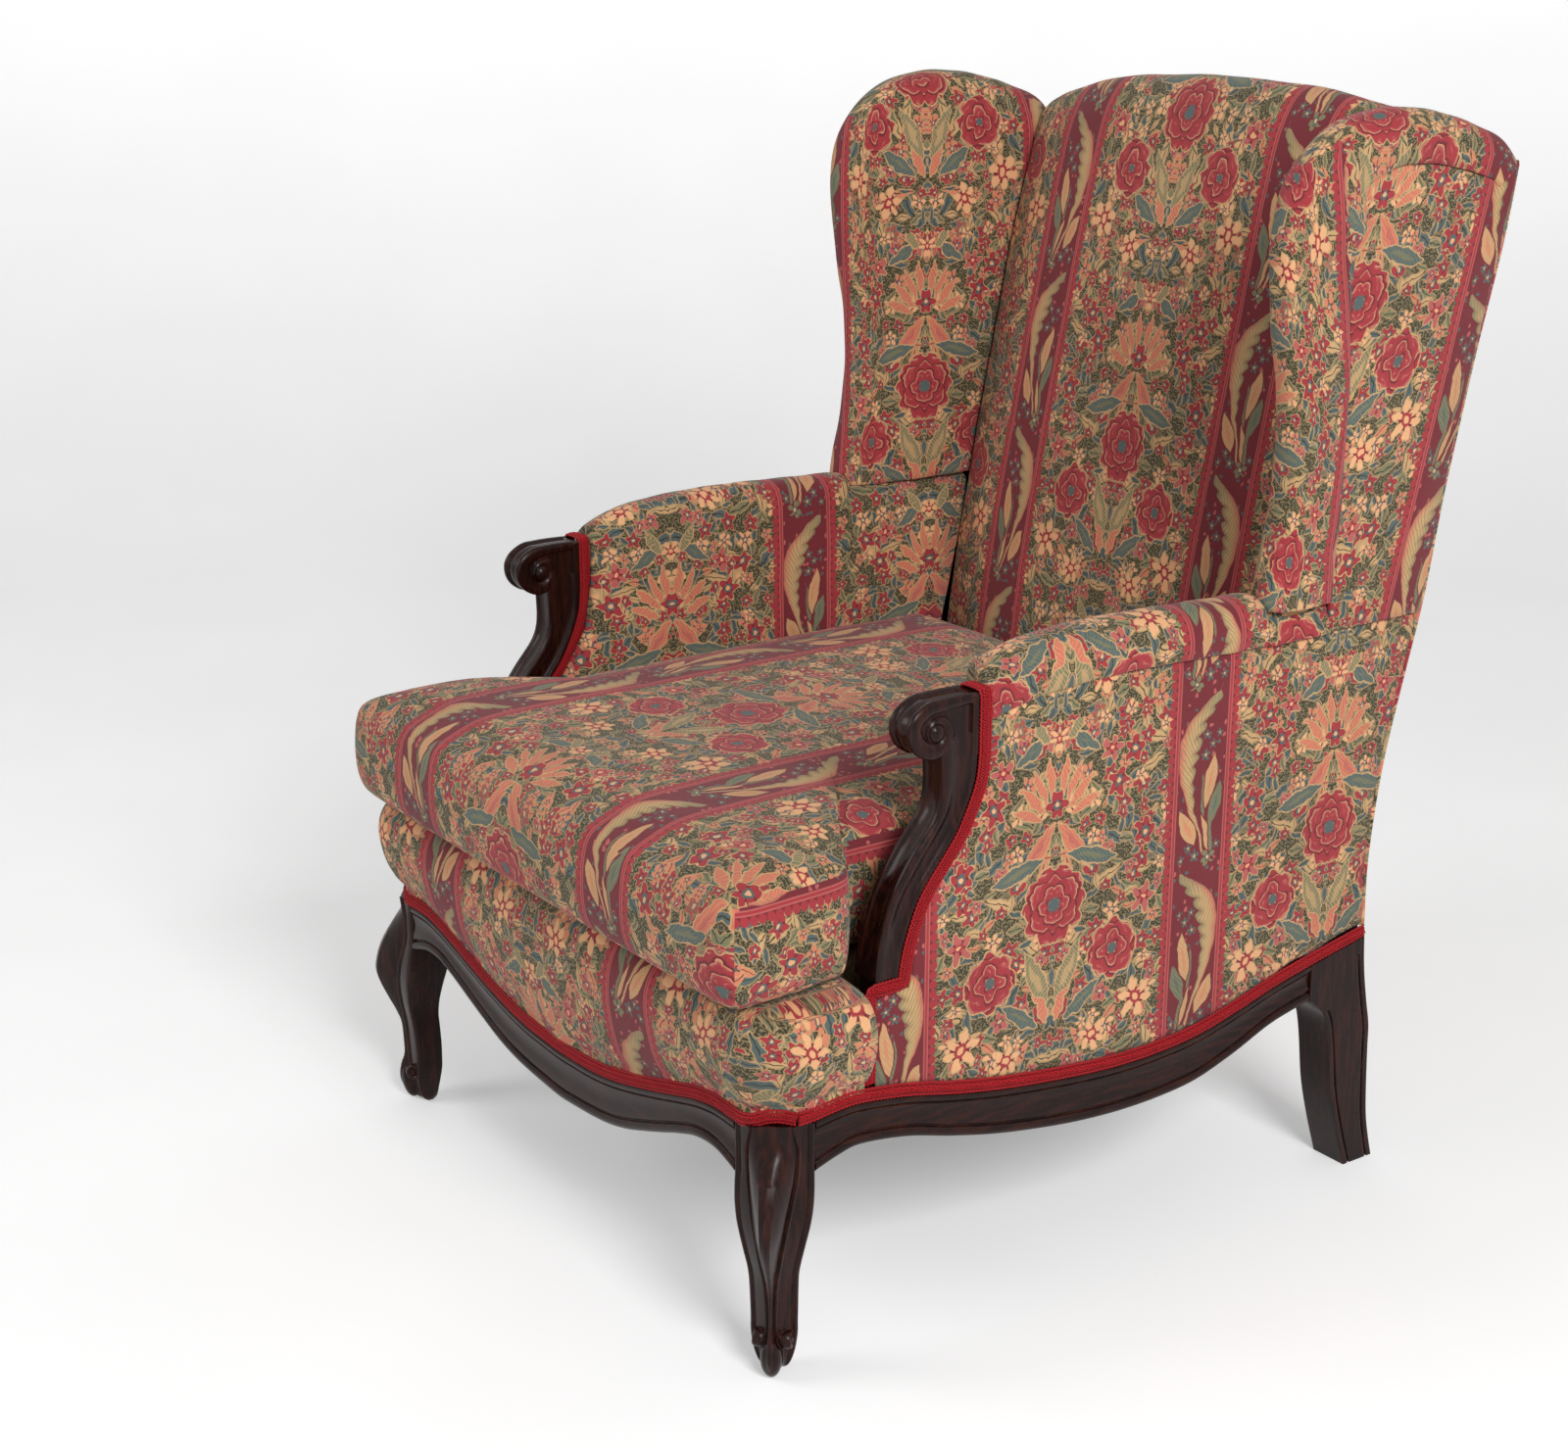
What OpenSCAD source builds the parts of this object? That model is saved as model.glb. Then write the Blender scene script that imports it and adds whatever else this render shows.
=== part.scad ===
// Bergere armchair: carved show-wood frame, sprung seat, winged back and a loose T-shaped cushion.
// The frame stands on z = 0 with its front toward -Y and is symmetric about x = 0.
// Left and right are the sitter's own, so every left piece is on the +X side.

/* [Overall] */
// Width over the outer faces of the seat rails and legs
seat_w = 690; // [640:5:740]
// Depth from the front of the cushion to the back of the upholstery
chair_d = 900; // [860:5:940]
// Height of the middle of the upholstered back
chair_h = 1044; // [1000:4:1100]
// How far the cushion stands out past the front rail
cushion_overhang = 50; // [45:1:60]

/* [Seat rails] */
// Height of the level hidden top of the seat rails
rail_top = 262; // [256:1:268]
// Thickness of the seat rails
rail_t = 30; // [26:1:34]
// Depth of the rabbet that the cover is tacked into
rabbet = 9; // [8:0.5:11]
// Height of the lower edge of the front rail at its middle
front_low = 135; // [125:1:145]
// Rise of the front rail's lower edge from its middle to the knees
front_low_rise = 58; // [45:1:62]
// Height of the show-wood's upper edge at the middle of the front rail
front_up = 182; // [175:1:190]
// Rise of the front rail's upper edge from its middle to the knees
front_up_rise = 50; // [40:1:54]
// Height of the lower edge of the side rails at their lowest
side_low = 147; // [138:1:155]
// Rise of the side rails' lower edge
side_low_rise = 54; // [45:1:58]
// Height of the show-wood's upper edge at the side rails' lowest
side_up = 193; // [186:1:198]
// Rise of the side rails' upper edge
side_up_rise = 47; // [40:1:50]

/* [Legs] */
// Side of the square block at the top of a front leg
block = 50; // [46:1:54]
// Depth of the rear leg's block at the rail
rear_block = 71; // [64:1:76]
// Width of a rear leg
rear_leg_w = 40; // [36:1:44]
// How far the rear foot kicks back past the rail
rear_kick = 34; // [20:1:44]
// Depth of the rear leg at the floor
rear_foot_d = 40; // [34:1:46]

/* [Back and wings] */
// How far the back leans from the rail to its top
back_lean = 134; // [110:2:150]
// Width of the hidden back posts and arm framing
stile_w = 24; // [20:1:26]
// Depth of the back posts above the rail
stile_d = 36; // [32:1:40]
// How far the padded wings stand out past the seat rails on each side
wing_proud = 4; // [0:1:10]
// Forward edge of the wings at the arms, behind the middle of the chair
wing_front = 156; // [146:1:166]
// How far the wing's front edge sweeps in and out
wing_sweep = 21; // [14:1:28]
// How far the tops of the wings lie below the crown of the back
wing_below = 6; // [0:1:30]

/* [Arms] */
// Height of the padded arm at its crown
arm_h = 617; // [600:1:630]
// Width of the carved arm supports
support_w = 31; // [28:1:34]
// Height of the foot of the arm supports
support_foot = 345; // [340:1:350]
// Clear width between the padded arms
between_arms = 573; // [560:1:580]

/* [Seat] */
// Height of the top of the sprung seat under the cushion
deck_h = 345; // [340:1:350]
// Thickness of the cushion at its edges
cushion_t = 105; // [94:1:112]
// Height that the cushion's crown adds in the middle
cushion_crown = 9; // [4:1:14]
// Width of the cushion's ears, tip to tip
ear_w = 674; // [650:2:680]
// Width of the gimp braid
gimp_w = 13; // [11:0.5:14]
// Seat springs in each direction
spring_rows = 3; // [2:1:3]
// Turns in each seat spring
spring_turns = 4; // [3:0.5:5]

/* [Hidden] */

// Clearance of a glued joint
fit = 0.2;
// Clearance between soft pieces and their neighbours
soft = 0.4;
// Overrun of cuts
over = 5;
// Clearance between a braid and the wood or seam beside it
gimp_gap = .5;
// Thickness of the outer covers and of the braid
cover_t = 5;
gimp_t = 3;
// How far the outer covers, the hidden frame and the front border lie inside the rails' faces
cover_set = 4;
stile_set = 9;
border_set = 3;
// Roll of the back above its rear seam
back_roll = 59;
// Bend of the rear leg and end of the post, below the rail's top and below the rear seam
knee_drop = 9;
post_drop = 2;
// Outward swell of the cushion's sides
cushion_swell = 8;
hw = seat_w / 2;
wing_w = seat_w + wing_proud * 2;
wing_h = chair_h - wing_below;
front = -chair_d / 2 + cushion_overhang;
back = chair_d / 2;
half_rail = hw - block;
face_r = hw - rabbet;
inner_r = hw - rail_t;
side_out = hw - cover_set;
stile_out = hw - stile_set;
stile_in = stile_out - stile_w;
arm_in = between_arms / 2;
post_y = back - back_lean - cover_t;
block_y = post_y - rear_block;
side_from = front + block;
side_len = block_y - side_from;
seam_z = chair_h - back_roll;
round_n = 32;

// Curves

// Point on a smooth curve through q and r, with p and s as its neighbours
function blend(p, q, r, s, t) = (q * 2 + (r - p) * t + (p * 2 - q * 5 + r * 4 - s) * t * t
    + (q * 3 - p - r * 3 + s) * t * t * t) / 2;
// Smooth curve through the points p with n steps in each span
function smooth(p, n = 3) = let (m = len(p) - 1)
    [for (i = [0:m - 1]) for (k = [0:n - 1])
        blend(p[max(i - 1, 0)], p[i], p[i + 1], p[min(i + 2, m)], k / n), p[m]];
// Table of shares set out as places from a over the span b, and heights from c over the rise d
function table(shares, a, b, c, d) = smooth([for (s = shares) [a + s[0] * b, c + s[1] * d]]);
function mix(a, b, t) = a + (b - a) * t;
function turned(p) = [for (i = [len(p) - 1:-1:0]) p[i]];
function yz(p) = [for (q = p) [q[1], q[0]]];
function centre(r) = [for (k = [0:2]) [for (p = r) p[k]] * [for (p = r) 1] / len(r)];
function normal(p, i) = let (d = p[min(i + 1, len(p) - 1)] - p[max(i - 1, 0)]) [d[1], -d[0]] / norm(d);
// Curve p set over by d along its own normals
function beside(p, d) = [for (i = [0:len(p) - 1]) p[i] + normal(p, i) * d];

// Edges of the seat rails
front_low_shares = [[0, 0], [.2, .07], [.37, .22], [.58, .59], [.73, .88], [.83, 1], [.915, .98], [1, .84]];
front_up_shares = [[0, 0], [.2, .06], [.37, .22], [.58, .54], [.73, .8], [.85, .97], [.95, 1], [1, .98]];
side_low_shares = [[0, .8], [.05, .97], [.114, 1], [.19, .8], [.293, .48], [.4, .24], [.508, .07],
    [.62, 0], [.734, .06], [.812, .28], [.89, .59], [.96, .86], [1, .89]];
side_up_shares = [[0, .93], [.05, 1], [.12, .95], [.19, .76], [.293, .46], [.4, .24], [.508, .08],
    [.62, 0], [.734, .08], [.812, .28], [.89, .53], [.96, .78], [1, .84]];
front_low_line = table(front_low_shares, 0, half_rail, front_low, front_low_rise);
front_up_line = table(front_up_shares, 0, half_rail, front_up, front_up_rise);
side_low_line = table(side_low_shares, side_from, side_len, side_low, side_low_rise);
side_up_line = table(side_up_shares, side_from, side_len, side_up, side_up_rise);
function front_low_at(x) = lookup(abs(x), front_low_line);
function front_up_at(x) = lookup(abs(x), front_up_line);
function side_low_at(y) = lookup(y, side_low_line);
function side_up_at(y) = lookup(y, side_up_line);
knee_up = front_up + front_up_rise * .98;

// Rear edge of the rear leg and back post: shares of the kick below the rail, of the lean above it
rear_low_shares = [[0, 1], [.15, .71], [.28, .59], [.49, .5], [.59, .47], [.7, .29], [.85, .09], [1, 0]];
rear_up_shares = [[0, 0], [.07, -.015], [.13, 0], [.23, .07], [.34, .215], [.45, .37], [.57, .48],
    [.68, .61], [.78, .735], [.9, .905], [1, 1]];
rear_knee = rail_top - knee_drop;
post_top = seam_z - post_drop;
rear_low_line = table(rear_low_shares, 0, rear_knee, post_y, rear_kick);
rear_up_line = table(rear_up_shares, rear_knee, seam_z - rear_knee, post_y, back_lean);
rear_line = concat(rear_low_line, [for (i = [1:len(rear_up_line) - 1]) rear_up_line[i]]);
// Front edge of the rear leg below its block, as shares of the block's height and of its own reach
shin_shares = [[0, 0], [.23, -.23], [.46, -.415], [.71, -.52], [.88, -.64], [.97, -.86], [1, -1]];
shin_top = side_low + side_low_rise * .89;
shin_foot = post_y + rear_kick - rear_foot_d;
shin_line = table(shin_shares, 0, shin_top, shin_foot, shin_foot - block_y);
function rear_at(z) = lookup(z, rear_line);
function stile_at(z) = rear_at(z) - stile_d;

// Crown of the arm, its outer seam and the hidden arm rail, from the support back to the post
arm_set = 210;
arm_from = front + arm_set;
arm_crown_drop = 25;
arm_seam_drop = 45;
arm_pad = 27;
arm_rail_h = 36;
arm_step = 6;
arm_step_run = 12;
wing_drop = 20;
crown_shares = [[0, 0], [.12, .64], [.27, .92], [.42, 1], [.57, 1], [.87, .84], [1, .8]];
crown_line = table(crown_shares, arm_from, wing_front - arm_from, arm_h - arm_crown_drop, arm_crown_drop);
function crown_at(y) = lookup(y, crown_line);
wing_low = arm_h - wing_drop;
function arm_seam_at(y) = crown_at(y) - arm_seam_drop;
function arm_rail_at(y) = crown_at(y) - arm_pad
    - arm_step * min(1, max(0, (y - wing_front) / arm_step_run));

// Arm support: heights as shares from its foot to its neck, edges as shares of its sweep
head_drop = 36;
neck_drop = 93;
support_set = 218;
support_sweep = 104;
head_z = arm_h - head_drop;
neck_z = arm_h - neck_drop;
support_back_y = front + support_set;
support_front_shares = [[0, -1], [.05, -1], [.19, -.96], [.37, -.87], [.52, -.71], [.62, -.58], [.72, -.43],
    [.8, -.36], [.88, -.33], [1, -.32]];
support_rear_shares = [[0, -.77], [.13, -.73], [.32, -.61], [.42, -.5], [.52, -.36], [.63, -.21],
    [.75, -.1], [.88, -.01], [1, .02]];
support_front_line = table(support_front_shares, support_foot, neck_z - support_foot, support_back_y,
    support_sweep);
support_rear_line = table(support_rear_shares, support_foot, neck_z - support_foot, support_back_y,
    support_sweep);
function support_front_at(z) = lookup(z, support_front_line);
function support_rear_at(z) = lookup(min(z, neck_z), support_rear_line);
function tongue_at(z) = support_rear_at(z) + gimp_w + soft;
support_levels = [for (k = [0:18]) mix(support_foot, neck_z, k / 18)];

// Solids

// Solid through closed rings of equal length, each end closed round its middle
module loft(rings) {
    n = len(rings[0]);
    m = len(rings);
    points = concat([for (r = rings) each r], [centre(rings[0]), centre(rings[m - 1])]);
    sides = [for (i = [0:m - 2]) for (j = [0:n - 1]) let (k = (j + 1) % n)
        each [[i * n + j, (i + 1) * n + k, i * n + k], [i * n + j, (i + 1) * n + j, (i + 1) * n + k]]];
    ends = [for (j = [0:n - 1]) let (k = (j + 1) % n)
        each [[m * n, j, k], [m * n + 1, (m - 1) * n + k, (m - 1) * n + j]]];
    polyhedron(points, concat(sides, ends));
}

// Thick sheet between two grids of points, such as a padded cover over its frame
module sheet(outside, inside) {
    m = len(outside);
    n = len(outside[0]);
    points = concat([for (r = outside) each r], [for (r = inside) each r]);
    b = m * n;
    faces = [for (i = [0:m - 2]) for (j = [0:n - 2]) let (p = i * n + j, q = p + n)
        each [[p, q, q + 1], [p, q + 1, p + 1], [b + p, b + q + 1, b + q], [b + p, b + p + 1, b + q + 1]]];
    edges = [for (i = [0:m - 2]) let (p = i * n, q = p + n, r = p + n - 1, s = r + n)
        each [[p, b + p, b + q], [p, b + q, q], [r, s, b + s], [r, b + s, b + r]]];
    ends = [for (j = [0:n - 2]) let (p = j, q = (m - 1) * n + j)
        each [[p, p + 1, b + p + 1], [p, b + p + 1, b + p], [q, b + q + 1, q + 1], [q, b + q, b + q + 1]]];
    polyhedron(points, concat(faces, edges, ends));
}

// Outline in Y and Z given a thickness t along X from x
module side_cut(outline, x, t) {
    translate([x, 0, 0])
        rotate([90, 0, 90])
            linear_extrude(t) polygon(outline);
}

// Outline in X and Z given a thickness t along Y from y
module front_cut(outline, y, t) {
    translate([0, y + t, 0])
        rotate([90, 0, 0])
            linear_extrude(t) polygon(outline);
}

// Box between two corners
module span(low, high) {
    translate(low) cube(high - low);
}

module mirrored(side) {
    mirror([side < 0 ? 1 : 0, 0, 0]) children();
}

module wood() { color([.13, .07, .06]) children(); }
module beech() { color([.72, .55, .36]) children(); }
module cover() { color([.45, .27, .22]) children(); }
module braid() { color([.65, .06, .12]) children(); }
module cloth() { color([.66, .58, .44]) children(); }

// Seat rails

// Moulded section of a rail from its back foot to its back top: how far out, and up the show-wood
bead = 7;
hollow = 3;
function rail_section(low, up) = [[0, low + bead], [rail_t - bead * 1.6, low + bead * .2],
    [rail_t - bead * .7, low - hollow * .2], [rail_t, low + bead * .4], [rail_t, low + bead * .85],
    [rail_t - hollow * .6, low + bead * 1.25], [rail_t - hollow * .75, low + bead * 1.5],
    [rail_t - hollow, mix(low + bead, up, .45)], [rail_t - hollow * .6, mix(low + bead, up, .72)],
    [rail_t, up - bead * .7], [rail_t, up - bead * .3], [rail_t - hollow * .5, up],
    [rail_t - rabbet, up], [rail_t - rabbet, rail_top], [0, rail_top]];

tenon_l = 24;
tenon_t = 11;
tenon_h = 44;
tenon_in = 14;
tenon_root = 1;
tenon_high = rail_top - tenon_in;
tenon_low = tenon_high - tenon_h;

module rail_tenon(gap = 0) {
    span([-gap, tenon_in - gap, tenon_low - gap],
        [tenon_l + gap * 4, tenon_in + tenon_t + gap, tenon_high + gap]);
}

module front_tenons(gap = 0) {
    for (side = [-1, 1]) mirrored(side)
        translate([half_rail - fit - tenon_root, front + fit, 0]) rail_tenon(gap);
}

// Screws of the corner blocks
screw_r = 2.2;
screw_head_r = 4.4;
screw_head_h = 2.4;
screw_l = 38;
screw_set = 24;
corner_reach = 56;
corner_h = 38;
corner_drop = 6;
corner_high = rail_top - corner_drop;
corner_low = corner_high - corner_h;
screw_z = mix(corner_low, corner_high, .5);

module screw_shape(gap = 0) {
    cylinder(r = screw_r + gap, h = screw_l + gap, $fn = round_n);
}

// Places of the screws: each starts inside its block and drives out into a rail
module at_screws() {
    for (side = [-1, 1]) mirrored(side) {
        translate([half_rail - screw_set, front + rail_t + screw_l * .62, screw_z])
            rotate([90, 0, 0]) children();
        translate([inner_r - screw_l * .62, side_from + screw_set, screw_z])
            rotate([0, 90, 0]) children();
        translate([inner_r - screw_l * .62, block_y - screw_set, screw_z])
            rotate([0, 90, 0]) children();
        translate([hw - rear_leg_w - screw_set, post_y - rail_t - screw_l * .62, screw_z])
            rotate([-90, 0, 0]) children();
    }
}

module front_rail() {
    steps = 30;
    wood() difference() {
        union() {
            loft([for (i = [0:steps]) let (x = mix(half_rail, -half_rail, i / steps) * (1 - fit / half_rail))
                [for (q = rail_section(front_low_at(x), front_up_at(x)))
                    [x, front + rail_t - q[0], q[1]]]]);
            front_tenons();
        }
        at_screws() screw_shape(fit);
    }
}

module side_tenons(gap = 0) {
    translate([hw - rail_t, side_from + fit + tenon_root, 0])
        rotate([0, 0, -90]) mirror([0, 1, 0]) translate([0, -rail_t, 0]) rail_tenon(gap);
    translate([hw - rail_t, block_y - fit - tenon_root, 0])
        rotate([0, 0, 90]) translate([0, -rail_t, 0]) rail_tenon(gap);
}

module side_rail(side) {
    steps = 34;
    from = side_from + fit;
    to = block_y - fit;
    wood() mirrored(side) difference() {
        union() {
            loft([for (i = [0:steps]) let (y = mix(to, from, i / steps))
                [for (q = rail_section(side_low_at(y), side_up_at(y))) [inner_r + q[0], y, q[1]]]]);
            side_tenons();
        }
        support_tenon(fit);
        at_screws() screw_shape(fit);
    }
}

module rear_rail() {
    low = side_low + side_low_rise * .89;
    dip = 18;
    rear_set = 1;
    arch_shares = [[-1, 0], [-.6, -.35], [-.3, -.85], [0, -1], [.3, -.85], [.6, -.35], [1, 0]];
    end = hw - rear_leg_w - fit;
    wood() difference() {
        union() {
            front_cut(concat(table(arch_shares, 0, end, low, dip), [[end, rail_top], [-end, rail_top]]),
                post_y - rail_t, rail_t - rear_set);
            for (side = [-1, 1]) mirrored(side)
                translate([end - tenon_root, post_y - rail_t, 0]) rail_tenon();
        }
        at_screws() screw_shape(fit);
    }
}

// Legs

// Front leg by height: tip of the knee, width of its leaf, face and inner edge, from the outer corner
leg_height_shares = [0, .022, .06, .11, .165, .215, .285, .37, .43, .495, .57, .63, .695, .76, .825, .89,
    .945, 1];
leg_tip_shares = [.36, .2, .08, .045, .075, .13, .13, .11, .035, -.08, -.2, -.25, -.22, -.15, -.04, .09,
    .2, .26];
leg_leaf_shares = [.06, .09, .13, .14, .1, .05, .05, .07, .1, .15, .21, .26, .31, .36, .4, .42, .41, .33];
leg_face_shares = [.4, .28, .2, .15, .135, .14, .13, .1, .06, 0, -.05, -.07, -.06, -.03, 0, 0, 0, 0];
leg_inner_shares = [.62, .66, .69, .725, .755, .76, .76, .745, .735, .76, .82, .88, .94, .98, 1, 1, 1, 1];
diag = sqrt(2);

// Half of a leg's ring in distances inward from the outer corner along the two faces
function leg_half(tip, leaf, face, inner) = let (
    cut = hollow * .5,
    edge = face + cut + leaf / diag,
    lip = face + diag * (leaf + bead * .35))
    [[mix(tip, edge, .25) + leaf * .55 / diag, mix(tip, edge, .25) - leaf * .55 / diag],
        [edge + leaf / diag, face + cut], [lip, face], [mix(lip, inner, .5), face + cut * .7],
        [inner - bead * .55, face], [inner, face + bead * .35],
        [inner, mix(face, inner, .55)], [inner - bead * .2, inner - bead * .7]];

function leg_ring(i) = let (
    half = leg_half(leg_tip_shares[i] * block, leg_leaf_shares[i] * block, leg_face_shares[i] * block,
        leg_inner_shares[i] * block),
    tip = leg_tip_shares[i] * block,
    heel = leg_inner_shares[i] * block - bead * .3)
    [for (q = concat([[tip, tip]], half, [[heel, heel]], [for (p = turned(half)) [p[1], p[0]]]))
        [hw - q[0], front + q[1], leg_height_shares[i] * knee_up]];

block_cant = 25;
toe_z = 35;
toe_r = 8.5;
toe_out = 23;
toe_set = 10;

module front_leg(side) {
    wood() mirrored(side) difference() {
        union() {
            loft([for (i = [0:len(leg_height_shares) - 1]) turned(leg_ring(i))]);
            // Hidden block in the rabbet, canted at the corner
            translate([0, 0, knee_up - over])
                linear_extrude(rail_top - knee_up + over)
                    polygon([[half_rail, front + rabbet], [face_r - block_cant, front + rabbet],
                        [face_r, front + rabbet + block_cant], [face_r, side_from], [half_rail, side_from]]);
            // Scrolls of the toe, one each side of its tongue
            for (turn = [-1, 1])
                translate([hw - toe_set - toe_out / diag * (1 + turn) / 2 + over * .6 * (1 - turn) / 2,
                    front + toe_set + toe_out / diag * (1 - turn) / 2 - over * .6 * (1 + turn) / 2, toe_z])
                    rotate([0, 0, 45]) rotate([0, 90, 0])
                        translate([0, 0, -toe_r * .45]) cylinder(r = toe_r, h = toe_r * .9, $fn = round_n);
        }
        translate([-fit, 0, 0]) front_tenons(fit);
        side_tenons(fit);
    }
}

module rear_post(side) {
    leg = concat(shin_line, [[rail_top, block_y]],
        [[rail_top, rear_at(rail_top)]], turned([for (p = rear_line) if (p[0] < rail_top - soft) p]));
    top = concat([[rail_top - fit, rear_at(rail_top)]],
        [for (p = rear_line) if (p[0] > rail_top && p[0] < post_top) p], [[post_top, rear_at(post_top)]]);
    stile = concat(top, turned([for (p = top) [p[0], p[1] - stile_d]]));
    groove_in = bead * .85;
    groove_w = hollow;
    groove = [for (p = rear_low_line) if (p[0] < rear_knee - over * 2) p];
    shin_groove = [for (p = shin_line) if (p[0] < shin_top * .93) p];
    wood() mirrored(side) difference() {
        union() {
            side_cut(yz(leg), hw - rear_leg_w, rear_leg_w);
            side_cut(yz(stile), stile_in, stile_w);
        }
        // Fluted borders on the outer face
        side_cut(yz(concat([for (p = groove) p - [0, groove_in]],
            turned([for (p = groove) p - [0, groove_in + groove_w]]))), hw - hollow * .6, over);
        side_cut(yz(concat([for (p = shin_groove) p + [0, groove_in]],
            turned([for (p = shin_groove) p + [0, groove_in + groove_w]]))), hw - hollow * .6, over);
        // Rabbet for the cover above the show-wood
        side_cut(concat([for (k = [-1:4]) let (y = mix(block_y, post_y, k / 3)) [y, side_edge_at(y)]],
            [[post_y + rear_kick, rail_top + over], [block_y - over, rail_top + over]]), face_r, rabbet + over);
        side_tenons(fit);
        translate([hw - rear_leg_w - fit * 2 - tenon_root, post_y - rail_t, 0]) rail_tenon(fit);
        arm_rail_tenon(fit);
    }
}

// Arm framing

tongue_t = 22;
tongue_x = stile_out - tongue_t;
post_from = support_back_y - support_sweep * .98;
post_to = support_back_y - support_sweep * .67;
foot_tenon = 24;
eye_r = 9;
eye_set = 44;
eye_proud = 2;
eye_y = support_back_y - eye_set;
eye_z = mix(neck_z, head_z, .51);

module support_tenon(gap = 0) {
    span([tongue_x + over - gap, post_from + over - gap, rail_top - foot_tenon - gap * 3],
        [tongue_x + tongue_t - over + gap, post_to - over + gap, rail_top + over]);
}

// Tenon of the arm rail into the post: how far it lies in from the rail's faces, its length and half height
arm_tenon_in = 7;
arm_tenon_l = 16;
arm_tenon_half = 9;

module arm_rail_tenon(gap = 0) {
    y = stile_at(arm_rail_at(wing_front) - arm_rail_h / 2);
    z = arm_rail_at(y) - arm_rail_h / 2;
    span([stile_in + arm_tenon_in - gap, y - over * 3, z - arm_tenon_half - gap],
        [stile_out - arm_tenon_in + gap, y + arm_tenon_l + gap * 4, z + arm_tenon_half + gap]);
}

// Section of the arm support: across its width, and from its rear edge to its front edge
support_section_shares = [[0, 0], [.0, .42], [.06, .5], [.06, .62], [0, .7], [0, .88], [.1, .97], [.2, 1],
    [.3, .93], [.5, .9], [.7, .93], [.8, 1], [.9, .97], [1, .88], [1, .7], [.94, .62], [.94, .5], [1, .42],
    [1, 0]];

// Outline of the scrolled head in Y and Z, from the back over the top to the neck
head_shares = [[.02, 0], [-.04, 0], [-.2, -.02], [-.38, -.1], [-.55, -.25], [-.67, -.43], [-.71, -.62],
    [-.68, -.8], [-.6, -.92], [-.5, -.97], [-.42, -1], [-.34, -1.1], [-.32, -1.3]];

// Groove of the volute, a band that winds in round the eye
volute_turns = 1.2;
volute_start = 75;
volute_from = 25;
volute_to = 11;
volute_squash = .88;
function volute(t, w) = let (a = volute_start + 360 * volute_turns * t,
    r = mix(volute_from, volute_to, pow(t, .6)) - w)
    [eye_y + r * cos(a), eye_z + r * sin(a) * volute_squash];

module arm_support(side) {
    inner_x = side_out - support_w;
    levels = concat(support_levels, [neck_z + over]);
    head = smooth([for (s = head_shares)
        [support_back_y + s[0] * support_sweep, head_z + s[1] * (head_z - neck_z)]], 2);
    tongue_levels = concat(support_levels, [head_z - over]);
    tongue = concat([for (z = tongue_levels) [tongue_at(z), z]],
        turned([for (z = tongue_levels) [support_rear_at(z) - over, z]]));
    groove_steps = 22;
    groove = concat([for (k = [0:groove_steps]) volute(k / groove_steps, 0)],
        turned([for (k = [0:groove_steps]) volute(k / groove_steps, hollow)]));
    wood() mirrored(side) difference() {
        union() {
            loft([for (z = levels) let (rear = support_rear_at(z), fore = support_front_at(min(z, neck_z)))
                [for (s = support_section_shares) [inner_x + s[0] * support_w, mix(rear, fore, s[1]), z]]]);
            side_cut(concat(head, [[support_rear_at(neck_z - over), neck_z - over]]), inner_x, support_w);
            side_cut(tongue, tongue_x, tongue_t);
            span([tongue_x, post_from, rail_top + fit], [tongue_x + tongue_t, post_to, support_foot + over]);
            support_tenon();
            translate([inner_x - eye_proud, eye_y, eye_z])
                rotate([0, 90, 0]) cylinder(r = eye_r, h = support_w + eye_proud * 2, $fn = round_n);
        }
        side_cut(groove, side_out - eye_proud, over);
        side_cut(groove, inner_x - over + eye_proud, over);
        arm_front_tenon(fit);
    }
}

arm_front_y = tongue_at(neck_z);
// Tenon of the arm rail into the support: how far it lies in from the tongue's face, width, length, half height
front_tenon_in = 4;
front_tenon_w = 11;
front_tenon_l = 20;
front_tenon_half = 8;

module arm_front_tenon(gap = 0) {
    x = tongue_x + front_tenon_in;
    z = arm_rail_at(arm_front_y) - arm_rail_h / 2;
    span([x - gap, arm_front_y - front_tenon_l - gap * 4, z - front_tenon_half - gap],
        [x + front_tenon_w + gap, arm_front_y + over, z + front_tenon_half + gap]);
}

module arm_rail(side) {
    rear_end = stile_at(arm_rail_at(wing_seam_y)) - soft * 1.5;
    stations = concat([arm_front_y + fit], [for (p = crown_line) if (p[0] > arm_front_y + over) p[0]],
        [for (k = [0:6]) mix(wing_front + arm_step_run, rear_end, k / 6)]);
    rail = concat([for (y = stations) [y, arm_rail_at(y)]],
        turned([for (y = stations) [min(y, stile_at(arm_rail_at(y) - arm_rail_h) - soft * 1.5),
            arm_rail_at(y) - arm_rail_h]]));
    beech() mirrored(side) {
        side_cut(rail, stile_in, stile_w);
        arm_front_tenon();
        arm_rail_tenon();
    }
}

stay_lift = 14;
stay_h = 34;
stay_low = rail_top + stay_lift;

module arm_stay(side) {
    beech() mirrored(side)
        side_cut([[post_to + fit, stay_low], [stile_at(stay_low) - fit * 2, stay_low],
            [stile_at(stay_low + stay_h) - fit * 2, stay_low + stay_h], [post_to + fit, stay_low + stay_h]],
            stile_in + fit, stile_w - fit * 2);
}

// Wings

wing_depth = back - wing_front;
wing_rise = wing_h - wing_low;
// Rim from the arm up the front edge: back as shares of the sweep, up as shares of the rise
front_rim_shares = [[0, 0], [.29, .075], [.67, .155], [.9, .235], [1, .345], [.83, .46], [.33, .575],
    [.05, .69], [0, .755], [.38, .845]];
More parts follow.
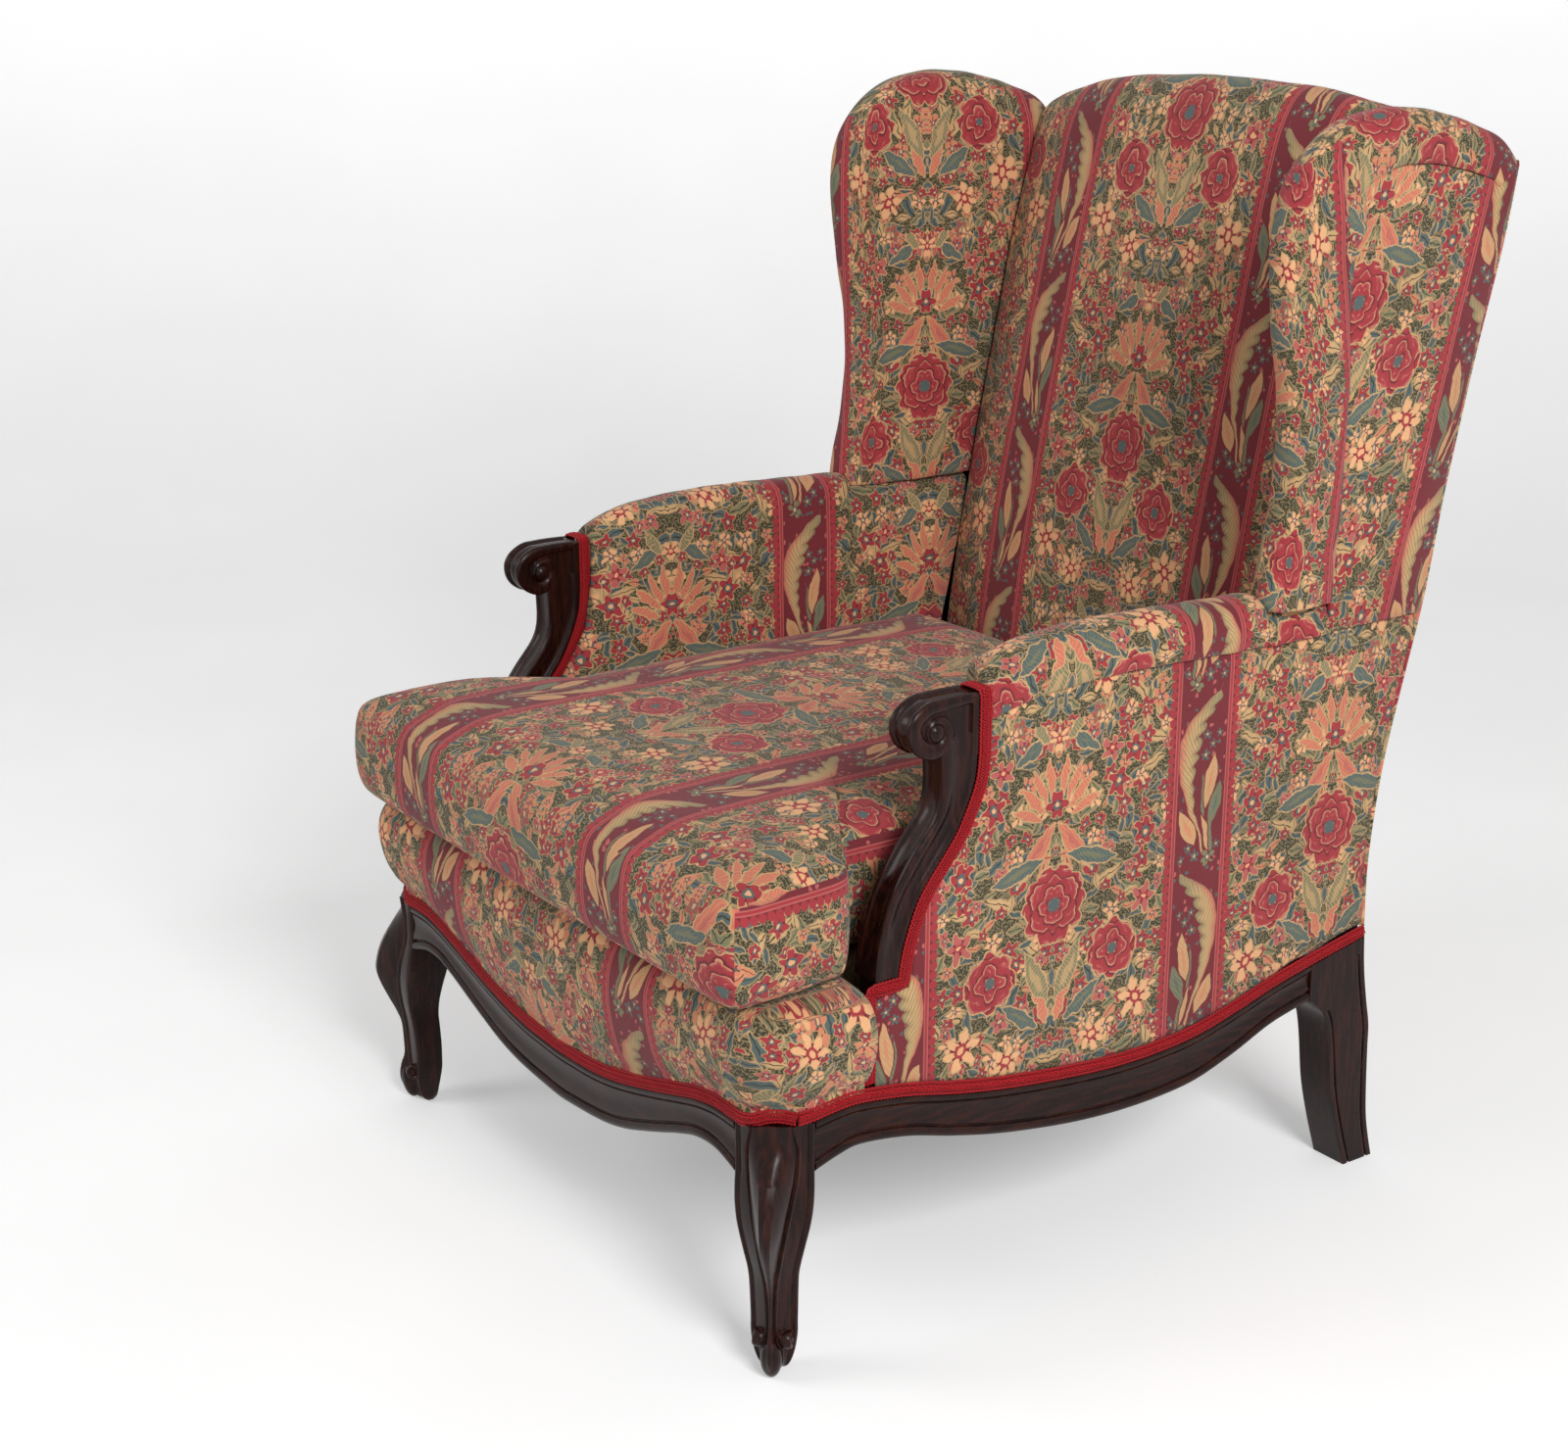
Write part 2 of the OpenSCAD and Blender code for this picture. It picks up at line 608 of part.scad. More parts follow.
// Rim over the top: back as shares of the wing's depth
top_rim_shares = [[.095, .914], [.19, .964], [.306, .99], [.43, 1], [.565, .994], [.687, .978], [.803, .955],
    [.925, .925], [.99, .885]];
rim = smooth(concat([for (s = front_rim_shares) [wing_front + s[0] * wing_sweep, wing_low + s[1] * wing_rise]],
    [for (s = top_rim_shares) [wing_front + s[0] * wing_depth, wing_low + s[1] * wing_rise]]), 2);
wrap_shares = [[0, .27], [.08, .235], [.22, .2], [.34, .24], [.44, .28], [.5, .31], [.56, .27], [.62, .2],
    [.75, .165], [1, .13]];
frame_inset = 22;
// The padding thins out over the top of the post
inset_shares = [[0, 1], [.86, 1], [1, .12]];
spine_power = .8;

// Inward point at depth d from the rim at station i
function rim_in(i, d) = let (n = normal(rim, i)) rim[i] + [n[0], n[1]] * d;
function rim_share(i) = i / (len(rim) - 1);
// Point of the crease against the back for station i
function spine(i) = let (z = mix(wing_low, post_top, pow(rim_share(i), spine_power))) [stile_at(z), z];
// Width of the band that wraps round the outer face, out to its seam
function wrap(i) = lookup(rim_share(i), wrap_shares) * wing_depth;
// The foot of the wing is level where it stands on the arm
function on_arm(q) = [q[0], max(q[1], wing_low)];
wing_seam_y = rim_in(0, wrap(0))[0];

// Section of the wing from its crease round the rim to the outer seam. Across the pad, then toward the
// rim from the crease, depth behind the rim in pads, and share of the wrapped band.
wing_skin_shares = [[.025, 0, 0, 0], [.017, .35, .28, 0], [.1, .7, .28, 0], [.23, 1, .28, 0],
    [.29, 1, .16, 0], [.41, 1, .05, 0], [.62, 1, 0, 0], [.79, 1, .023, 0], [.925, 1, .124, 0],
    [1, 1, .314, 0], [1, 1, 0, .6], [.93, 1, 0, 1]];
// The same for the hollow inside, across the hidden frame and behind its own inset
wing_core_shares = [[0, 0, 0, 0], [0, .35, 1, 0], [0, .7, 1, 0], [0, 1, 1, 0], [.1, 1, 1, 0], [.25, 1, 1, 0],
    [.5, 1, 1, 0], [.75, 1, 1, 0], [1, 1, 1, 0], [1, 1, 1.14, 0], [1, 1, 0, .75], [1, 1, 0, 1]];

module wing(side) {
    face = arm_in + soft * 5;
    pad = wing_w / 2 - face;
    low_x = stile_in - soft;
    high_x = stile_out + soft;
    point = function (i, s, depth) let (c = spine(i), q = rim_in(i, s[2] * depth + s[3] * wrap(i)))
        on_arm(mix(c, q, s[1]));
    outside = [for (i = [0:len(rim) - 1]) [for (s = wing_skin_shares)
        let (p = point(i, s, pad)) [face + s[0] * pad, p[0], p[1]]]];
    inside = [for (i = [0:len(rim) - 1]) [for (s = wing_core_shares)
        let (p = point(i, s, frame_inset * lookup(rim_share(i), inset_shares)))
            [mix(low_x, high_x, s[0]), p[0], p[1]]]];
    cover() mirrored(side) sheet(outside, inside);
}

// The hidden wing frame stands on the arm rail and runs back to the post
wing_bar = 34;
split = floor(len(rim) * .62);
bar_end = len(rim) - 5;
wing_foot = arm_rail_at(wing_seam_y) + fit;

function wing_bar_outline(a, b) = concat([for (i = [a:b]) rim_in(i, frame_inset + soft)],
    turned([for (i = [a:b]) rim_in(i, frame_inset + wing_bar)]));

module wing_stile(side) {
    bar = wing_bar_outline(0, split);
    last = len(bar) - 1;
    beech() mirrored(side)
        side_cut(concat([[bar[0][0], wing_foot]], bar, [[bar[last][0], wing_foot]]), stile_in, stile_w);
}

module wing_top(side) {
    beech() mirrored(side) difference() {
        side_cut(wing_bar_outline(split, bar_end), stile_in, stile_w);
        side_cut(concat([for (p = rear_line) if (p[0] > wing_low) [p[1] - stile_d - fit * 2, p[0]]],
            [[back + over, seam_z], [back + over, wing_low]]), 0, hw);
    }
}

// Back

crest_drop = 32;
crest_low = seam_z - crest_drop;
crest_edge_shares = [[-1, -1], [-.75, -.56], [-.5, -.25], [-.25, -.06], [0, 0], [.25, -.06], [.5, -.25],
    [.75, -.56], [1, -1]];
back_half = arm_in - soft * 2.5;
arch = 41;
back_slack = 12;
back_gap = 2;
crest_d = 26;
crest_half = stile_in - fit;
crest_line = table(crest_edge_shares, 0, crest_half, chair_h - crest_drop, arch);
function crest_at(x) = lookup(x, crest_line);

module crest_rail() {
    front_y = rear_at(crest_low) - crest_d;
    beech() intersection() {
        front_cut(concat(crest_line, [[crest_half, crest_low], [-crest_half, crest_low]]), 0, back + over);
        side_cut(concat([for (k = [0, .5, 1]) let (z = mix(crest_low, seam_z, k)) [rear_at(z) - soft * 1.5, z]],
            [[rear_at(seam_z) - soft * 1.5, chair_h], [front_y, chair_h], [front_y, crest_low]]),
            -crest_half, crest_half * 2);
    }
}

// Band of the back's slope between two heights, from depth a to depth b in front of the posts' rear
function slope_band(low, high, a, b) = let (zs = concat([low],
    [for (p = rear_line) if (p[0] > low + soft && p[0] < high - soft) p[0]], [high]))
    concat([for (z = zs) [rear_at(z) - a, z]], turned([for (z = zs) [rear_at(z) - b, z]]));

back_stay_h = 40;
back_stay_top = deck_h - soft * 5;

module back_stay() {
    beech() side_cut(slope_band(back_stay_top - back_stay_h, back_stay_top, stile_d, fit), -crest_half,
        crest_half * 2);
}

strap_w = 50;
strap_t = 1.5;
back_straps = [2, 5];

module back_webbing() {
    low = back_stay_top + fit;
    high = crest_low - fit;
    cloth() {
        for (k = [0:back_straps[0] - 1])
            side_cut(slope_band(low, high, back_slack - strap_t - fit * 2, back_slack - fit * 3),
                mix(-arm_in, arm_in, (k + 1) / (back_straps[0] + 1)) - strap_w / 2, strap_w);
        for (k = [0:back_straps[1] - 1]) let (z = mix(low, high, (k + .5) / back_straps[1]) - strap_w / 2)
            side_cut(slope_band(z, z + strap_w, back_slack - strap_t * 2, back_slack - strap_t - fit),
                -crest_half, crest_half * 2);
    }
}

// Profiles of the stuffed back from its tuck up its face and over the crest to the rear seam:
// depth as shares of the lean behind the post's front, height as shares of the pad's rise
back_edge_shares = [[.037, 0], [.048, .076], [.135, .22], [.233, .363], [.354, .506], [.47, .65], [.602, .793],
    [.69, .865], [.735, .9], [.79, .928], [.86, .941], [.925, .941], [.965, .934], [.983, .925], [1, .915]];
back_mid_shares = [[-.107, 0], [-.113, .076], [-.05, .22], [.043, .363], [.158, .506], [.273, .65],
    [.394, .793], [.47, .88], [.527, .937], [.625, .983], [.74, 1], [.856, .995], [.955, .977], [.993, .947], [1, .915]];
// Path of the pad's hidden side: up the webbing's face, then round the crest rail. Back and up as shares
// of the crest's depth and of the rise from its foot to its top.
crest_path_shares = [[0, 0], [0, .5], [0, 1], [.4, 1], [.75, 1], [1, 1]];
back_low = deck_h + soft * 5;

module inside_back() {
    steps = 14;
    wall_steps = 8;
    rise = chair_h - back_low;
    from = stile_at(rail_top) + soft * 5;
    reach = back - from;
    n = len(back_edge_shares);
    stations = [for (i = [steps:-1:0]) back_half * sin(mix(-90, 90, i / steps))];
    wall = [for (k = [0:wall_steps - 1]) let (z = mix(back_low, crest_low - soft, k / (wall_steps - 1)))
        [rear_at(z) - back_slack - back_gap, z]];
    crest = function (x) let (top = crest_at(x) + soft * 2.5, y = rear_at(crest_low) - crest_d - soft,
        end = rear_at(min(top, seam_z)) - soft)
        [for (s = crest_path_shares) [mix(y, end, s[0]), mix(crest_low, top, s[1])],
            [back - cover_t, seam_z + soft]];
    outside = [for (x = stations) let (u = abs(x / back_half), c = 1 - pow(u, 4), a = 1 - pow(u, 2.6))
        [for (j = [0:n - 1]) let (e = back_edge_shares[j], m = back_mid_shares[j])
            [x, from + reach * mix(e[0], m[0], c), max(back_low + rise * mix(e[1], m[1], a),
                j > n - 4 ? seam_z + soft : 0)]]];
    inside = [for (x = stations) [for (p = concat(wall, crest(x))) [x, p[0], p[1]]]];
    cover() sheet(outside, inside);
}

module outside_back() {
    cover() side_cut(slope_band(rear_knee, seam_z, -cover_t, -fit), -side_out, side_out * 2);
}

// Arm upholstery

arm_lift = 4;
arm_low = rail_top + arm_lift;

// Skin of the padded arm from the foot of its inner wall over the crown to the outer seam: across the pad,
// how far the front end draws in, share of the wall's height and drop in rolls below the crown
arm_skin_shares = [[.009, .36, 0, 0], [0, .36, .2, 0], [-.007, .36, .45, 0], [0, .34, .7, 0],
    [.026, .325, 1, 1], [.1, .24, 1, .42], [.26, .1, 1, .1], [.5, 0, 1, 0], [.74, -.05, 1, .1],
    [.915, -.05, 1, .42], [1, -.05, 1, .96], [1, -.05, 1, 1.4], [.95, 0, 1, 2]];
// Its hidden side: across the frame, share of the wall's height and of the outer flap's height
arm_core_shares = [[0, 0, 0], [0, .2, 0], [0, .45, 0], [0, .7, 0], [0, .9, 0], [0, .98, 0], [0, 1, 0],
    [.33, 1, 0], [.66, 1, 0], [1, 1, 0], [1, 1, .34], [1, 1, .67], [1, 1, 1]];
arm_front_draw_shares = [1, .62, .25, .06, 0];
arm_front_step_shares = [0, .036, .1, .2];
arm_roll = 26;
arm_front_drop = 7;
arm_rear_gap = 2;

module inside_arm(side) {
    pad = hw - arm_in;
    low_x = stile_in - soft;
    high_x = stile_out + soft;
    stations = 15;
    under = 10;
    near = wing_front - soft * 4;
    from = function (z) z > support_foot ? tongue_at(z) + soft : post_to + soft;
    // Place of station i at height z: behind the braid in front, against the post under the wing
    place = function (i, z) i < 4 ? mix(from(z), near, arm_front_step_shares[i])
        : i <= under ? mix(from(z), near, mix(arm_front_step_shares[3], 1, (i - 3) / (under - 3)))
        : mix(near + soft * 3, stile_at(z) - arm_rear_gap, (i - under - 1) / (stations - under - 1));
    outside = [for (i = [0:stations]) let (tucked = i > under, draw = arm_front_draw_shares[min(i, 4)],
        crown = tucked ? wing_low - soft : crown_at(place(i, arm_h)) - draw * arm_front_drop,
        seam = arm_seam_at(place(i, arm_h - arm_seam_drop)))
        [for (s = arm_skin_shares) let (flat = tucked && s[3] < .2 ? 0 : 1,
            roll = crown - s[3] * arm_roll * flat,
            z = s[2] < 1 ? mix(arm_low, crown, s[2]) : s[3] == 2 ? seam : max(roll, seam + soft))
            [arm_in + s[0] * pad + s[1] * pad * draw, place(i, z), z]]];
    inside = [for (i = [0:stations]) let (z = arm_rail_at(place(i, arm_h - arm_pad)) + soft * 2,
        seam = arm_seam_at(place(i, arm_h - arm_seam_drop)))
        [for (s = arm_core_shares) let (h = s[2] > 0 ? mix(z, seam, s[2]) : mix(arm_low, z, s[1]))
            [mix(low_x, high_x, s[0]), place(i, h), h]]];
    cover() mirrored(side) difference() {
        sheet(outside, inside);
        // Behind the wing's seam the panels of the outer side take over
        span([stile_out, wing_seam_y - soft, arm_low], [hw + over, back, arm_h]);
        // Slot for the hidden wing frame
        span([stile_in - soft, wing_front + frame_inset, wing_foot - soft],
            [stile_out + soft, wing_front + frame_inset + wing_bar + over, arm_h]);
    }
}

panel_x = stile_out + soft;
// Edge of the side panel along the braid, from the rail up to the arm's seam
panel_rise = 14;
function side_edge_at(y) = side_up_at(min(max(y, side_from), block_y))
    + panel_rise * max(0, (y - block_y) / (post_y - block_y));
function side_floor_at(y) = side_edge_at(y) + gimp_w + gimp_gap * 2;
border_end = post_from - gimp_w - gimp_gap * 3;

module outside_arm(side) {
    seam_steps = 10;
    floor_steps = 26;
    support_steps = 14;
    y_low = border_end + gimp_w + soft;
    gimp_low = support_foot - gimp_w - gimp_gap;
    rear_z = arm_seam_at(wing_front) - soft;
    seam_ys = [for (k = [0:seam_steps]) mix(tongue_at(arm_h) + soft, wing_front, k / seam_steps)];
    floor_ys = [for (k = [0:floor_steps]) mix(y_low, rear_at(rail_top) - fit, k / floor_steps)];
    rear_zs = concat([for (p = rear_line) if (p[0] > rail_top + over && p[0] < rear_z - over) p[0]], [rear_z]);
    support_zs = [for (k = [1:support_steps])
        mix(support_foot, arm_h - arm_seam_drop - wing_drop, k / support_steps)];
    outline = concat([for (y = floor_ys) [y, side_floor_at(y)]], [for (z = rear_zs) [rear_at(z) - fit, z]],
        turned([for (y = seam_ys) [y, arm_seam_at(y) - soft]]),
        turned([for (z = support_zs) [tongue_at(z) + soft, z]]),
        [[tongue_at(support_foot) + soft, gimp_low], [y_low, gimp_low]]);
    cover() mirrored(side) side_cut(outline, panel_x, side_out - panel_x);
}

module outside_wing(side) {
    steps = 14;
    low = arm_seam_at(wing_front) + soft;
    seam = [for (i = [0:len(rim) - 1]) let (p = on_arm(rim_in(i, wrap(i) + soft * 2))) if (p[1] > wing_low) p];
    rear_zs = [for (k = [0:steps]) mix(low, seam_z, k / steps)];
    outline = concat([for (z = rear_zs) [rear_at(z) - fit, z]],
        turned([for (p = seam) if (p[0] < rear_at(min(p[1], seam_z)) - over) p]),
        [[wing_seam_y + soft, wing_low], [wing_seam_y + soft, low]]);
    cover() mirrored(side) side_cut(outline, panel_x, wing_w / 2 - cover_t - panel_x);
}

// Seat

spring_set = 12;

module spring_seat_rows() {
    across = 2 * between_arms / (spring_rows * 2 + 1);
    along = (block_y - front) * .72 / spring_rows;
    for (i = [0:spring_rows - 1]) for (k = [0:spring_rows - 1])
        translate([(i - (spring_rows - 1) / 2) * across,
            mix(front, block_y, .5) + (k - (spring_rows - 1) / 2) * along + spring_set, 0]) children();
}

webbing_rise = 7;
webbing_z = side_low + side_low_rise + webbing_rise;
spring_foot = webbing_z + strap_t * 2 + fit;
deck_pad = 19;
spring_top = deck_h - deck_pad - strap_t - soft;
wire_r = 1.8;
spring_r = 46;
spring_waist = 27;

// Hourglass spring as one tube that winds up round its axis
module seat_spring() {
    per_turn = 8;
    sides = 5;
    n = round(spring_turns * per_turn);
    loft([for (i = [0:n]) let (t = i / n, a = -360 * i / per_turn,
        r = mix(spring_waist, spring_r, pow(2 * t - 1, 2)),
        z = mix(spring_foot + wire_r, spring_top - wire_r, (t - sin(t * 720) * .035)))
        [for (k = [0:sides - 1]) let (b = 360 * k / sides)
            [(r + wire_r * cos(b)) * cos(a), (r + wire_r * cos(b)) * sin(a), z + wire_r * sin(b)]]]);
}

module seat_springs() {
    color([.5, .5, .5]) spring_seat_rows() seat_spring();
}

module seat_webbing() {
    count = 5;
    y_low = front + rail_t + fit;
    y_high = post_y - rail_t - fit;
    x_high = inner_r - fit;
    cloth() {
        for (k = [0:count - 1]) let (x = mix(-x_high, x_high, (k + 1) / (count + 1)) - strap_w / 2)
            span([x, y_low, webbing_z], [x + strap_w, y_high, webbing_z + strap_t + fit]);
        for (k = [0:count - 1]) let (y = mix(side_from, block_y, (k + .5) / count) - strap_w / 2)
            span([-x_high, y, webbing_z + strap_t], [x_high, y + strap_w, webbing_z + strap_t * 2]);
    }
}

// Hessian over the springs, tacked down flat on the rails and drawn up over the springs
hessian_flange = 14;
hessian_slope = 26;
platform_edge = 5;
platform_low = front + rail_t + border_set * 9;
platform_rear = stile_at(rail_top) - border_set;
platform_lift = strap_t + soft * 2;

function platform_ring(o, z) = [[back_half + o, platform_low - o, z], [back_half + o, platform_rear + o, z],
    [-back_half - o, platform_rear + o, z], [-back_half - o, platform_low - o, z]];

module spring_hessian() {
    plateau = platform_edge + hessian_slope;
    edge = inner_r + hessian_flange;
    low = rail_top + fit;
    rings = [[-plateau * 2, spring_top], [-plateau, spring_top], [-platform_edge, low]];
    flange = function (z) [[edge, front + rail_t - hessian_flange, z],
        [edge, post_y - rail_t + hessian_flange, z], [-edge, post_y - rail_t + hessian_flange, z],
        [-edge, front + rail_t - hessian_flange, z]];
    cloth() difference() {
        loft(concat([for (r = rings) platform_ring(r[0], r[1])], [flange(low), flange(low + strap_t)],
            [for (r = turned(rings)) platform_ring(r[0], r[1] + strap_t)]));
        for (side = [-1, 1]) mirrored(side) {
            span([inner_r - over, block_y - over, 0], [hw, back, chair_h]);
            span([inner_r - over, post_from - soft, 0], [hw, post_to + soft, chair_h]);
            span([half_rail - over, front, 0], [hw, side_from + over, chair_h]);
        }
    }
}

// Stuffed pad of the deck, hollow underneath where the hessian rises into it
deck_roll_shares = [[0, .1], [0, .9], [.35, .965], [1, 1]];
deck_roll = 9;

module seat_platform() {
    foot = rail_top + fit + platform_lift;
    cloth() difference() {
        loft([for (s = deck_roll_shares)
            platform_ring(-deck_roll * s[0], s[1] < .5 ? foot : mix(foot, deck_h, s[1]))]);
        loft([platform_ring(soft - platform_edge, foot - over), platform_ring(soft - platform_edge, foot - soft),
            platform_ring(soft - platform_edge - hessian_slope, spring_top + platform_lift)]);
    }
}

// Plan of the front border: points round the T of the deck, their outward normals, their inner points and
// how full the stuffing is
border_side = hw - border_set;
border_front = front + border_set;
border_cant = 29;
border_skin = 3.6;
border_flat = 6;
border_lift = 5;
function border_half() = let (x = border_side, y = border_front, c = border_cant, d = 1 / diag,
    bx = back_half, by = platform_low - soft * 2, end = x - c * 1.6, inner_end = bx - c * 1.1)
    [[[x, border_end], [1, 0], [bx, border_end], 1],
        [[x, mix(border_end, y + c, .5)], [1, 0], [bx, mix(border_end, by, .45)], 1],
        [[x, y + c], [.924, -.383], [bx, mix(border_end, by, .8)], 1.2],
        [[x - c / 2, y + c / 2], [d, -d], [bx, by], 1.4],
        [[x - c, y], [.383, -.924], [bx - c * .45, by], 1.2],
        each [for (k = [0:border_flat]) let (s = 1 - k / border_flat)
            [[end * s, y], [0, -1], [inner_end * s, by], 1]]];
border_plan = let (h = border_half(), n = len(h))
    concat(h, [for (i = [n - 2:-1:0]) let (q = h[i])
        [[-q[0][0], q[0][1]], [-q[1][0], q[1][1]], [-q[2][0], q[2][1]], q[3]]]);
function border_up(p) = abs(p[0]) > border_side - border_cant * .55 && p[1] > border_front + soft
    ? side_up_at(max(p[1], side_from)) : front_up_at(min(abs(p[0]), half_rail));
// Section of the border: outward swell, rise and how far in toward the deck
border_skin_shares = [[0, 0, 0], [0, .02, 0], [.32, .07, 0], [.78, .3, 0], [1, .6, 0], [.84, .82, 0],
    [.42, .94, 0], [-.2, .99, 0], [0, 1, .4], [0, 1, 1]];
border_core_shares = [[0, 0], [0, .3], [0, .65], [0, 1], [.15, 1], [.32, 1], [.5, 1], [.66, 1], [.83, 1],
    [1, 1]];
border_swell = 22;

module seat_front_border() {
    outside = [for (s = border_plan) let (up = border_up(s[0]) + border_lift)
        [for (r = border_skin_shares) let (p = mix(s[0] + s[1] * border_swell * s[3] * r[0], s[2], r[2]))
            [p[0], p[1], r[1] == 0 ? up : mix(up + gimp_w, deck_h, r[1])]]];
    inside = [for (s = border_plan) let (up = border_up(s[0]) + border_lift,
        skin = border_skin / norm(s[2] - s[0]))
        [for (r = border_core_shares) let (p = mix(s[0], s[2], mix(skin, 1, r[0])))
            [p[0], p[1], mix(up, rail_top + platform_lift, r[1])]]];
    cover() sheet(outside, inside);
}

// Loose cushion

cushion_low = deck_h + soft;
cushion_y = chair_d / 2 - cushion_swell;
ear_reach = 118;
ear_back = support_back_y - ear_reach;
cushion_set = 21;
cushion_back = stile_at(rail_top) - cushion_set;
waist = back_half - soft * 5;
ear_round = 26;

// Corners of the plan in rounds: the ear's front corner, its rear corner and the cushion's rear corner
ear_front_shares = [[.33, .12], [.08, .42], [0, 1.1], [0, 2.4]];
ear_rear_shares = [[0, 1], [.12, .4], [.42, .08]];
ear_notch_shares = [[.24, -.04], [.04, -.27], [0, -.85]];
rear_corner_shares = [[.04, 1.8], [.2, .7], [.7, .15]];
function cushion_half() = let (e = ear_w / 2, w = waist, r = ear_round, f = -cushion_y, b = cushion_back)
    [[0, f], [e * .3, f], [e * .6, f + r * .04], [e * .84, f + r * .08],
        each [for (s = ear_front_shares) [e - r * s[0], f + r * s[1]]],
        each [for (s = ear_rear_shares) [e - r * s[0], ear_back - r * s[1]]],
        [mix(w, e, .45), ear_back],
        each [for (s = ear_notch_shares) [w + r * s[0], ear_back - r * s[1]]],
        each [for (k = [.25, .5, .75]) [w, mix(ear_back, b, k)]],
        each [for (s = rear_corner_shares) [w - r * s[0], b - r * s[1]]],
        [w * .7, b], [w * .35, b], [0, b]];
cushion_plan = let (h = cushion_half(), n = len(h)) concat(h, [for (i = [n - 2:-1:1]) [-h[i][0], h[i][1]]]);

// Rings of the cushion from the middle of its base to the middle of its crown:
// share of the plan, outward swell, height of the border and height of the crown
cushion_ring_shares = [[.35, 0, 0, 0], [.75, 0, 0, 0], [.94, 0, 0, 0], [.985, -.4, .05, 0], [1, .1, .13, 0],
    [1, .75, .28, 0], [1, 1, .48, 0], [1, .85, .7, 0], [1, .4, .88, 0], [.99, 0, .97, 0],
    [.95, 0, 1.03, 0], [.86, 0, 1.02, .5], [.66, 0, 1, .9], [.35, 0, 1, 1]];
tight = .25;

module seat_cushion() {
    mid_y = mix(-cushion_y, cushion_back, .5);
    n = len(cushion_plan);
    cover() loft([for (r = cushion_ring_shares) [for (i = [0:n - 1]) let (p = cushion_plan[i],
        d = cushion_plan[(i + 1) % n] - cushion_plan[(i + n - 1) % n],
        out = [d[1], -d[0]] / norm(d) * cushion_swell * r[1],
        room = p[1] > ear_back - ear_round * .6 ? tight : 1)
        [p[0] * r[0] + out[0] * room, mid_y + (p[1] - mid_y) * r[0] + out[1] * room,
            cushion_low + cushion_t * r[2] + cushion_crown * r[3]]]]);
}

// Gimp braid

// Outline of a band of braid over the places along an edge
function gimp_band(places, edge) = concat([for (p = places) [p, edge(p) + gimp_gap]],
    turned([for (p = places) [p, edge(p) + gimp_gap + gimp_w]]));

// Front braid: along the rail, then up over the two canted corners
gimp_section_shares = [[0, .75], [.35, 1], [.65, 1], [1, .75]];
gimp_crown = 4;

module gimp_front() {
    end = border_side - border_cant;
    steps = 26;
    corner_steps = 4;
    total = steps + corner_steps * 2;
    edge = function (x) front_up_at(min(abs(x), half_rail));
    // Place, outward direction and lower edge of station k, counted along the rail from the left
    place = function (k) let (t = k < corner_steps ? 1 - k / corner_steps
        : max(0, (k - corner_steps - steps) / corner_steps), sx = k < total / 2 ? 1 : -1)
        t > 0 ? [[sx * (end + border_cant * t), border_front + border_cant * t], t == 1 ? [sx, -.41]
            : [sx / diag, -1 / diag], mix(edge(end), side_up_at(side_from), t) + gimp_crown * sin(t * 180)]
        : let (u = (k - corner_steps) / steps, x = mix(end, -end, u))
            [[x, border_front], u == 0 || u == 1 ? [sx * .41, -1] : [0, -1], edge(x)];
    stations = [for (k = [0:total]) place(k)];
    braid() sheet([for (s = stations) [for (g = gimp_section_shares)
            let (p = s[0] + s[1] * (fit + gimp_t * g[1])) [p[0], p[1], s[2] + gimp_gap + g[0] * gimp_w]]],
        [for (s = stations) [for (g = gimp_section_shares) let (p = s[0] + s[1] * fit)
            [p[0], p[1], s[2] + gimp_gap + g[0] * gimp_w]]]);
}

module gimp_side(side) {
    steps = 30;
    from = border_front + border_cant + gimp_t;
    to = rear_at(rail_top - gimp_w) - fit;
    braid() mirrored(side) side_cut(gimp_band([for (k = [0:steps]) mix(from, to, k / steps)],
        function (y) side_edge_at(y)), border_side + fit, gimp_t);
}

// Braid up both faces of the arm support, over behind its scroll, and out under its foot to the border
module gimp_arm(side) {
    top_z = head_z + gimp_t;
    outer_x = tongue_x + tongue_t + fit;
    outer_t = side_out + gimp_gap - outer_x;
    zs = concat(support_levels, [top_z]);
    band = concat([for (z = zs) [support_rear_at(z) + fit, z]], turned([for (z = zs) [tongue_at(z) - fit, z]]));
    strip_low = head_z - over + fit;
    floor_z = side_floor_at(border_end) + gimp_gap;
    foot_z = support_foot - fit;
    elbow_z = support_foot - gimp_w;
    end_y = tongue_at(support_foot) - fit;
    foot = [[border_end + fit, floor_z], [border_end + gimp_w, floor_z], [border_end + gimp_w, elbow_z],
        [end_y, elbow_z], [end_y, foot_z], [border_end + fit, foot_z]];
    braid() mirrored(side) {
        side_cut(band, outer_x, outer_t);
        side_cut(band, stile_in - fit, tongue_x - stile_in);
        span([tongue_x - fit * 2, support_rear_at(neck_z) + fit * 2, strip_low],
            [outer_x + fit, tongue_at(neck_z) - fit * 2, top_z - fit]);
        side_cut(foot, panel_x, outer_x + outer_t - panel_x);
    }
}

module gimp_rear() {
    z = rear_knee - gimp_w - gimp_gap;
    y = rear_at(z) + fit;
    braid() span([-side_out, y, z], [side_out, y + gimp_t, z + gimp_w]);
}

// Corner blocks, their screws and the cloth under the seat

module block_prism(outline) {
    translate([0, 0, corner_low]) linear_extrude(corner_high - corner_low) polygon(outline);
}

